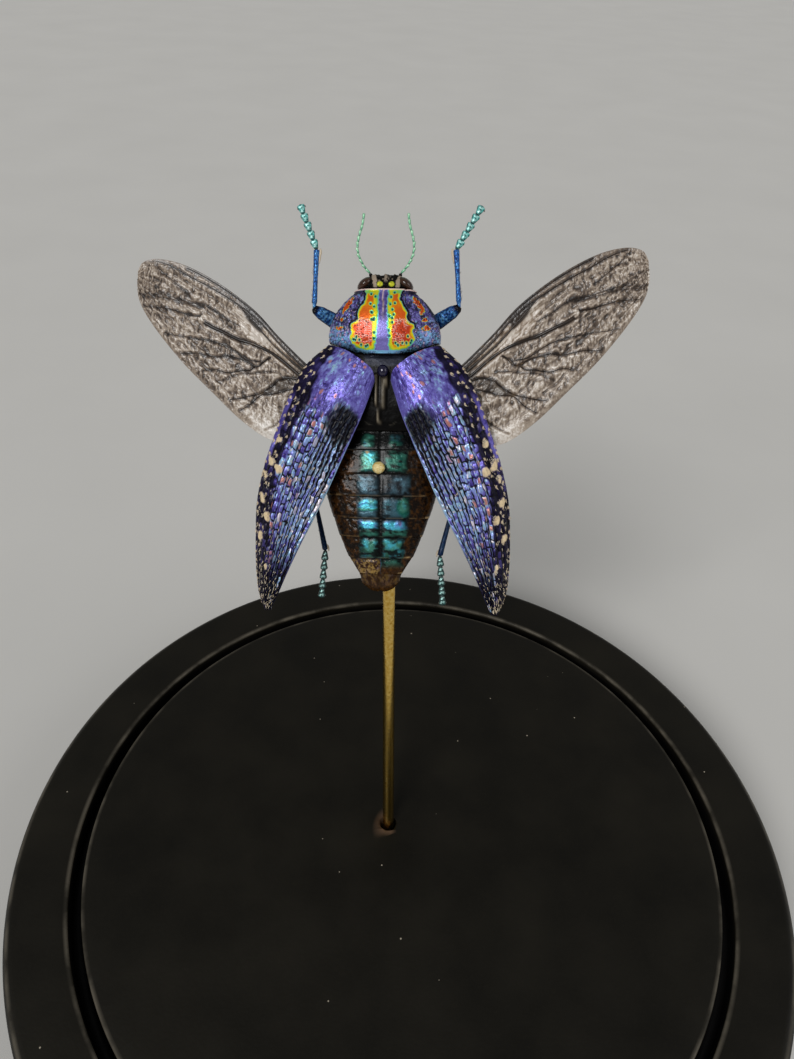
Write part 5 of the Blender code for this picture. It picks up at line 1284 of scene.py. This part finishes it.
def straightLimb(start, end, rings, rows, columns, pitDepth, seed):
    table = np.array(rings)
    share = np.linspace(0, 1, rows)
    wide, thick = [np.interp(share, table[:, 0], table[:, k]) for k in (1, 2)]
    grid = limb(start + share[:, None] * (end - start), wide, thick, columns)
    turn, place = np.meshgrid(np.arange(columns) / columns, share * np.linalg.norm(end - start))
    near = cells(turn * 12, place * 2.6, seed, 0.7)[0]
    pits = ease(0.42, 0.14, near)
    return lifted(grid, -pits * pitDepth), pits, turn * 2 * math.pi, share[:, None], place


def makeLeg(leg, index, cfg, finish, hairFinish):
    hip, knee, ankle, toe = [np.array(point) for point in legPoints[leg]]
    ahead = (ankle - knee) / np.linalg.norm(ankle - knee)
    front = leg.startswith("front")
    kneeIn = knee + (hip - knee) / np.linalg.norm(hip - knee) * 0.15  # the shin starts inside the thigh's end
    for kind, start, end, rows, columns, depth in (("femur", hip, knee, 100, 60, 0.05),
                                                   ("tibia", kneeIn, ankle, 140, 40, 0.035)):
        grid, pits, turn, share, place = straightLimb(start, end, cfg[kind], rows, columns, depth, 800 + index * 7)
        # painted light: the upper side of thigh and shin lighter and the under side darker
        lit = ease(-0.3, 0.8, np.sin(turn))
        speckle = cloud(turn * 4, place * 5, 820 + index)
        if kind == "femur":
            # painted sheen: a bright blue patch on the thigh's lit upper side
            litSheen = lit * ease(0.45, 0.62, share) * ease(0.97, 0.88, share) * (1.0 if front else 0.3)
            film = 0.12 + 0.75 * litSheen * (0.3 + 0.8 * speckle)
            dark = np.maximum(pits * 0.9, 0.97 - 1.0 * litSheen * (0.3 + 0.75 * speckle))
        else:
            film = 0.36 + 0.45 * lit * speckle + ease(0.35, 0.0, share) * 0.1
            dark = np.maximum(pits * 0.75, (0.0 if front else 0.86) + (1 - lit) * 0.3)
        body = ringBody(grid)
        masks = {"film": np.append(np.clip(film, 0, 1), [0, 0]), "dark": np.append(np.clip(dark, 0, 1), [1, 1])}
        bodies = [(placed(body[0]), body[1], masks)]
        if kind == "tibia":  # pale spurs on the inner side, above the foot
            inward = np.array([-math.copysign(1.0, knee[0]), 0, 0])
            for far, offset in ((1.5, 0.36), (0.8, 0.42)) if front else ((0.7, 0.36),):
                part = np.linspace(0, 1, 14)[:, None]
                path = ankle - ahead * (far * (1 - part) - 0.12 * part) + inward * (offset + 0.05 * np.sin(part * 3))
                width = 0.11 * np.sin(np.clip(part[:, 0] * 0.95 + 0.05, 0, 1) * math.pi)**0.6 + 0.015
                spur = ringBody(limb(path, width, width, 10))
                bodies.append((placed(spur[0]), spur[1], {"pale": 0.95}))
        finishPiece(addMesh(f"{leg}_{kind}Shell", *joined(bodies), finish), "leg_cuticle", f"{leg}_{kind}")
    makeFoot(leg, index, ankle, toe, feet)
    dice = np.random.default_rng(900 + index)
    share, away = dice.uniform(0.08, 0.97, 60), dice.uniform(0, 2 * math.pi, 60)
    out = np.outer(np.cos(away), np.cross(ahead, (0, 0, 1))) + np.outer(np.sin(away), np.array((0, 0, 1)))
    at = knee + share[:, None] * (ankle - knee) + out * 0.22
    hairs = growBristles(f"{leg}_tibiaHairs", at, out * 0.5 + ahead, dice.uniform(0.2, 0.4, 60), hairFinish, 0.018, 0.15,
                         index)
    finishPiece(hairs, "leg_cuticle")


def footJoint(cfg, length, black):  # one heart-shaped joint along z, with a small pale pad below each side
    share = np.linspace(0.0, 1.0, 16)
    wide = np.interp(share, [0, 0.12, 0.62, 0.80, 0.93, 1.0], [0.16, cfg["neck"], cfg["lobe"], cfg["lobe"], 0.26, 0.10])
    thick = np.interp(share, [0, 0.5, 0.85, 1.0], [0.15, cfg["thickness"], cfg["thickness"] * 0.8, 0.08])
    grid = limb(np.stack([share * 0, share * 0, share * length], -1), wide, thick, 20, (0, 1, 0))
    grid[..., 2] += 0.15 * ease(0.35, 0.8, share)[:, None] * (np.abs(grid[..., 0]) / cfg["lobe"])**1.5
    body = ringBody(grid)
    # painted light: each joint lighter on its upper side; on the middle and hind feet its shaded parts go black
    lit = np.clip(body[0][:, 1] / cfg["thickness"] * 0.5 + 0.5, 0, 1)
    patchy = cloud(body[0][:, 0] * 5, body[0][:, 2] * 5, 77)
    dark = np.maximum(ease(0.34 * length, 0.10 * length, body[0][:, 2]) * 0.9, ease(0.55, 0.3, patchy) * 0.75)
    dark = np.maximum(dark, black * ease(0.95, 0.8, lit * (0.4 + 0.9 * patchy)))
    bodies = [(body[0], body[1], {"film": 0.2 + 0.8 * lit * (0.4 + 0.8 * patchy) + black * 0.2, "dark": dark})]
    for sign in (-1, 1):
        flap = ringBody(oval((sign * cfg["lobe"] * 0.82, -0.12, 0.76 * length), (0.13, 0.05, 0.2), 12, 8))
        bodies.append((flap[0], flap[1], {"pale": 0.75}))
    return joined(bodies)


def makeFoot(leg, index, ankle, toe, cfg):
    count = cfg["joints"]
    length = np.linalg.norm(toe - ankle)
    ahead = (toe - ankle) / length
    last = 1 - 0.86 * cfg["overlap"] / count  # the last joint ends at the toe
    line = ankle + np.linspace(0.0, last - 0.01, 20)[:, None] * (toe - ankle)
    across = np.cross((0, 0, 1), ahead)
    across /= np.linalg.norm(across)
    black = 0.0 if leg.startswith("front") else 0.92
    pattern = addMesh("jointPattern", *footJoint(cfg, length / count * cfg["overlap"], black), footFinish)
    guide = guideObject("footGuide", placed(line), [(k, k + 1) for k in range(19)],
                        {"side": np.tile(np.array(beetleTurn) @ across, (20, 1))}, {})
    piece = grown(f"{leg}_footJoints", guide, trees["joints"],
                  {"Joint": pattern, "Count": count, "First Size": 0.86, "Last Size": 0.86, "Finish": footFinish})
    bpy.data.objects.remove(pattern)
    over = np.cross(ahead, across)
    bodies = []
    for sign in (-1, 1):  # claws hook out and down, and don't reach past the toe
        t = np.linspace(0, 1, 14)[:, None]
        path = toe - ahead * 0.62 + across * sign * (0.10 + 0.36 * np.sin(t * 1.9)) + ahead * 0.34 * np.sin(t * 2.2)
        path = path - over * cfg["clawMm"] * 0.75 * t**1.5
        width = np.linspace(0.10, 0.02, 14)
        claw = ringBody(limb(path, width, width, 8, over + across * 0.3))
        bodies.append((placed(claw[0]), claw[1], {"dark": 0.9}))
    claws = addMesh(f"{leg}_claws", *joined(bodies), footFinish)
    finishPiece(piece, "foot_cuticle", f"{leg}_tarsus")
    finishPiece(claws, "foot_cuticle")


def makeAntenna(side, sign, cfg, finish):
    curve = onCurve([(sign * x, y, z) for x, y, z in cfg["curve"]], np.linspace(0, 0.945, 60))
    step = np.linalg.norm(np.diff(curve, axis=0), axis=1).sum() / (cfg["joints"] - 1)
    share = np.linspace(0, 1, 10)
    wide = np.interp(share, [0, 0.15, 0.8, 1.0], [cfg["neck"], cfg["neck"] * 1.05, cfg["radius"], cfg["neck"]])
    grid = limb(np.stack([share * 0, share * 0, share * step * 1.12], -1), wide, wide * 0.9, 12, (0, 1, 0))
    grid[..., 0] += (0.06 * sign * ease(0.3, 0.85, share))[:, None] * (grid[..., 0] * sign > 0)  # saw tooth
    body = ringBody(grid)
    joint = addMesh("antennaPattern", body[0], body[1], {"film": ease(0.0, step, body[0][:, 2]) * 0.8 + 0.1,
                                                         "dark": ease(0.12, 0.0, body[0][:, 2]) * 0.2}, finish)
    guide = guideObject("antennaGuide", placed(curve), [(k, k + 1) for k in range(59)],
                        {"side": np.tile(np.array(beetleTurn) @ np.array((1.0, 0, 0)), (60, 1))}, {})
    piece = grown("antennaJoints_" + side, guide, trees["joints"],
                  {"Joint": joint, "Count": cfg["joints"], "First Size": 0.9, "Last Size": 0.95, "Finish": finish})
    bpy.data.objects.remove(joint)
    finishPiece(piece, "antenna", "antenna_" + side)


legFinish = layeredCuticle("blueLegCuticle", legs)
footFinish = layeredCuticle("turquoiseFootCuticle", feet)
darkSeta = seta("darkSeta", [(0.3, "#1a1512"), (0.7, "#5b4a38")])
for index, leg in enumerate(legPoints):
    makeLeg(leg, index, legs, legFinish, darkSeta)
antennaFinish = layeredCuticle("mintAntennaCuticle", antenna)
for side, sign in sides.items():
    makeAntenna(side, sign, antenna, antennaFinish)
print("legs and antennae made")

# Studio: pale floor, soft lights and the camera where the photo was taken
studio = {"floor": "#dddbd6", "floorHalf": 1500.0, "world": "#eef0f2", "worldStrength": 0.22,
          # soft boxes so far off that they light all of the floor alike: where from, width in degrees, strength
          "lights": {"key": ((-0.45, -0.85, 0.85), 28, 1.75), "fill": ((0.95, -0.25, 0.55), 40, 0.45)}}
view = {"place": (-3.58, -57.36, 112.65), "pitchDegrees": 39.73, "rollDegrees": 3.5, "focalPixels": 795.0,
        "pixelHeight": 1059, "sensor": 36.0}


def makeStudio(cfg):
    material, tree = newMaterial("mattePaperFloor")
    grain = addNode(tree, "ShaderNodeTexNoise", {"Vector": inMillimetres(tree), "Scale": 1 / 40, "Detail": 3.0})
    colour = addNode(tree, "ShaderNodeValToRGB", {"Fac": grain.outputs["Fac"]},
                     stops=[(0.0, "#d4d2cd"), (1.0, cfg["floor"])]).outputs[0]
    finishMaterial(tree, {"Base Color": colour, "Roughness": 0.9})
    half = cfg["floorHalf"]
    mesh = bpy.data.meshes.new("studioFloor")
    mesh.from_pydata([(x * half * mm, y * half * mm, 0) for x, y in ((-1, -1), (1, -1), (1, 1), (-1, 1))], [], [(0, 1, 2, 3)])
    mesh.materials.append(material)
    floor = bpy.data.objects.new("studioFloor", mesh)
    bpy.context.scene.collection.objects.link(floor)
    world = bpy.data.worlds.new("softRoom")
    bpy.context.scene.world = world
    world.use_nodes = True
    world.node_tree.nodes["Background"].inputs[0].default_value = linear(cfg["world"])
    world.node_tree.nodes["Background"].inputs[1].default_value = cfg["worldStrength"]
    for name, (way, width, power) in cfg["lights"].items():
        light = bpy.data.lights.new(name, "SUN")
        light.angle = math.radians(width)
        light.energy = power
        lamp = bpy.data.objects.new(name, light)
        lamp.rotation_euler = Vector(way).to_track_quat("Z", "Y").to_euler()
        bpy.context.scene.collection.objects.link(lamp)


def makeCamera(cfg):
    pitch, roll = math.radians(cfg["pitchDegrees"]), math.radians(cfg["rollDegrees"])
    ahead = Vector((0, math.cos(pitch), -math.sin(pitch)))
    up = Vector((0, math.sin(pitch), math.cos(pitch)))
    right = Vector((1, 0, 0))
    rolledRight = math.cos(roll) * right + math.sin(roll) * up
    rolledUp = -math.sin(roll) * right + math.cos(roll) * up
    turn = Matrix((rolledRight, rolledUp, -ahead)).transposed().to_4x4()
    lens = bpy.data.cameras.new("photoView")
    lens.sensor_width = lens.sensor_height = cfg["sensor"]
    lens.lens = cfg["sensor"] * cfg["focalPixels"] / cfg["pixelHeight"]
    lens.clip_start = 0.001
    camera = bpy.data.objects.new("photoView", lens)
    camera.matrix_world = Matrix.Translation(Vector(cfg["place"]) * mm) @ turn
    bpy.context.scene.collection.objects.link(camera)
    bpy.context.scene.camera = camera


makeStudio(studio)
makeCamera(view)
bpy.context.scene.view_settings.view_transform = "Standard"
print("studio and camera made")
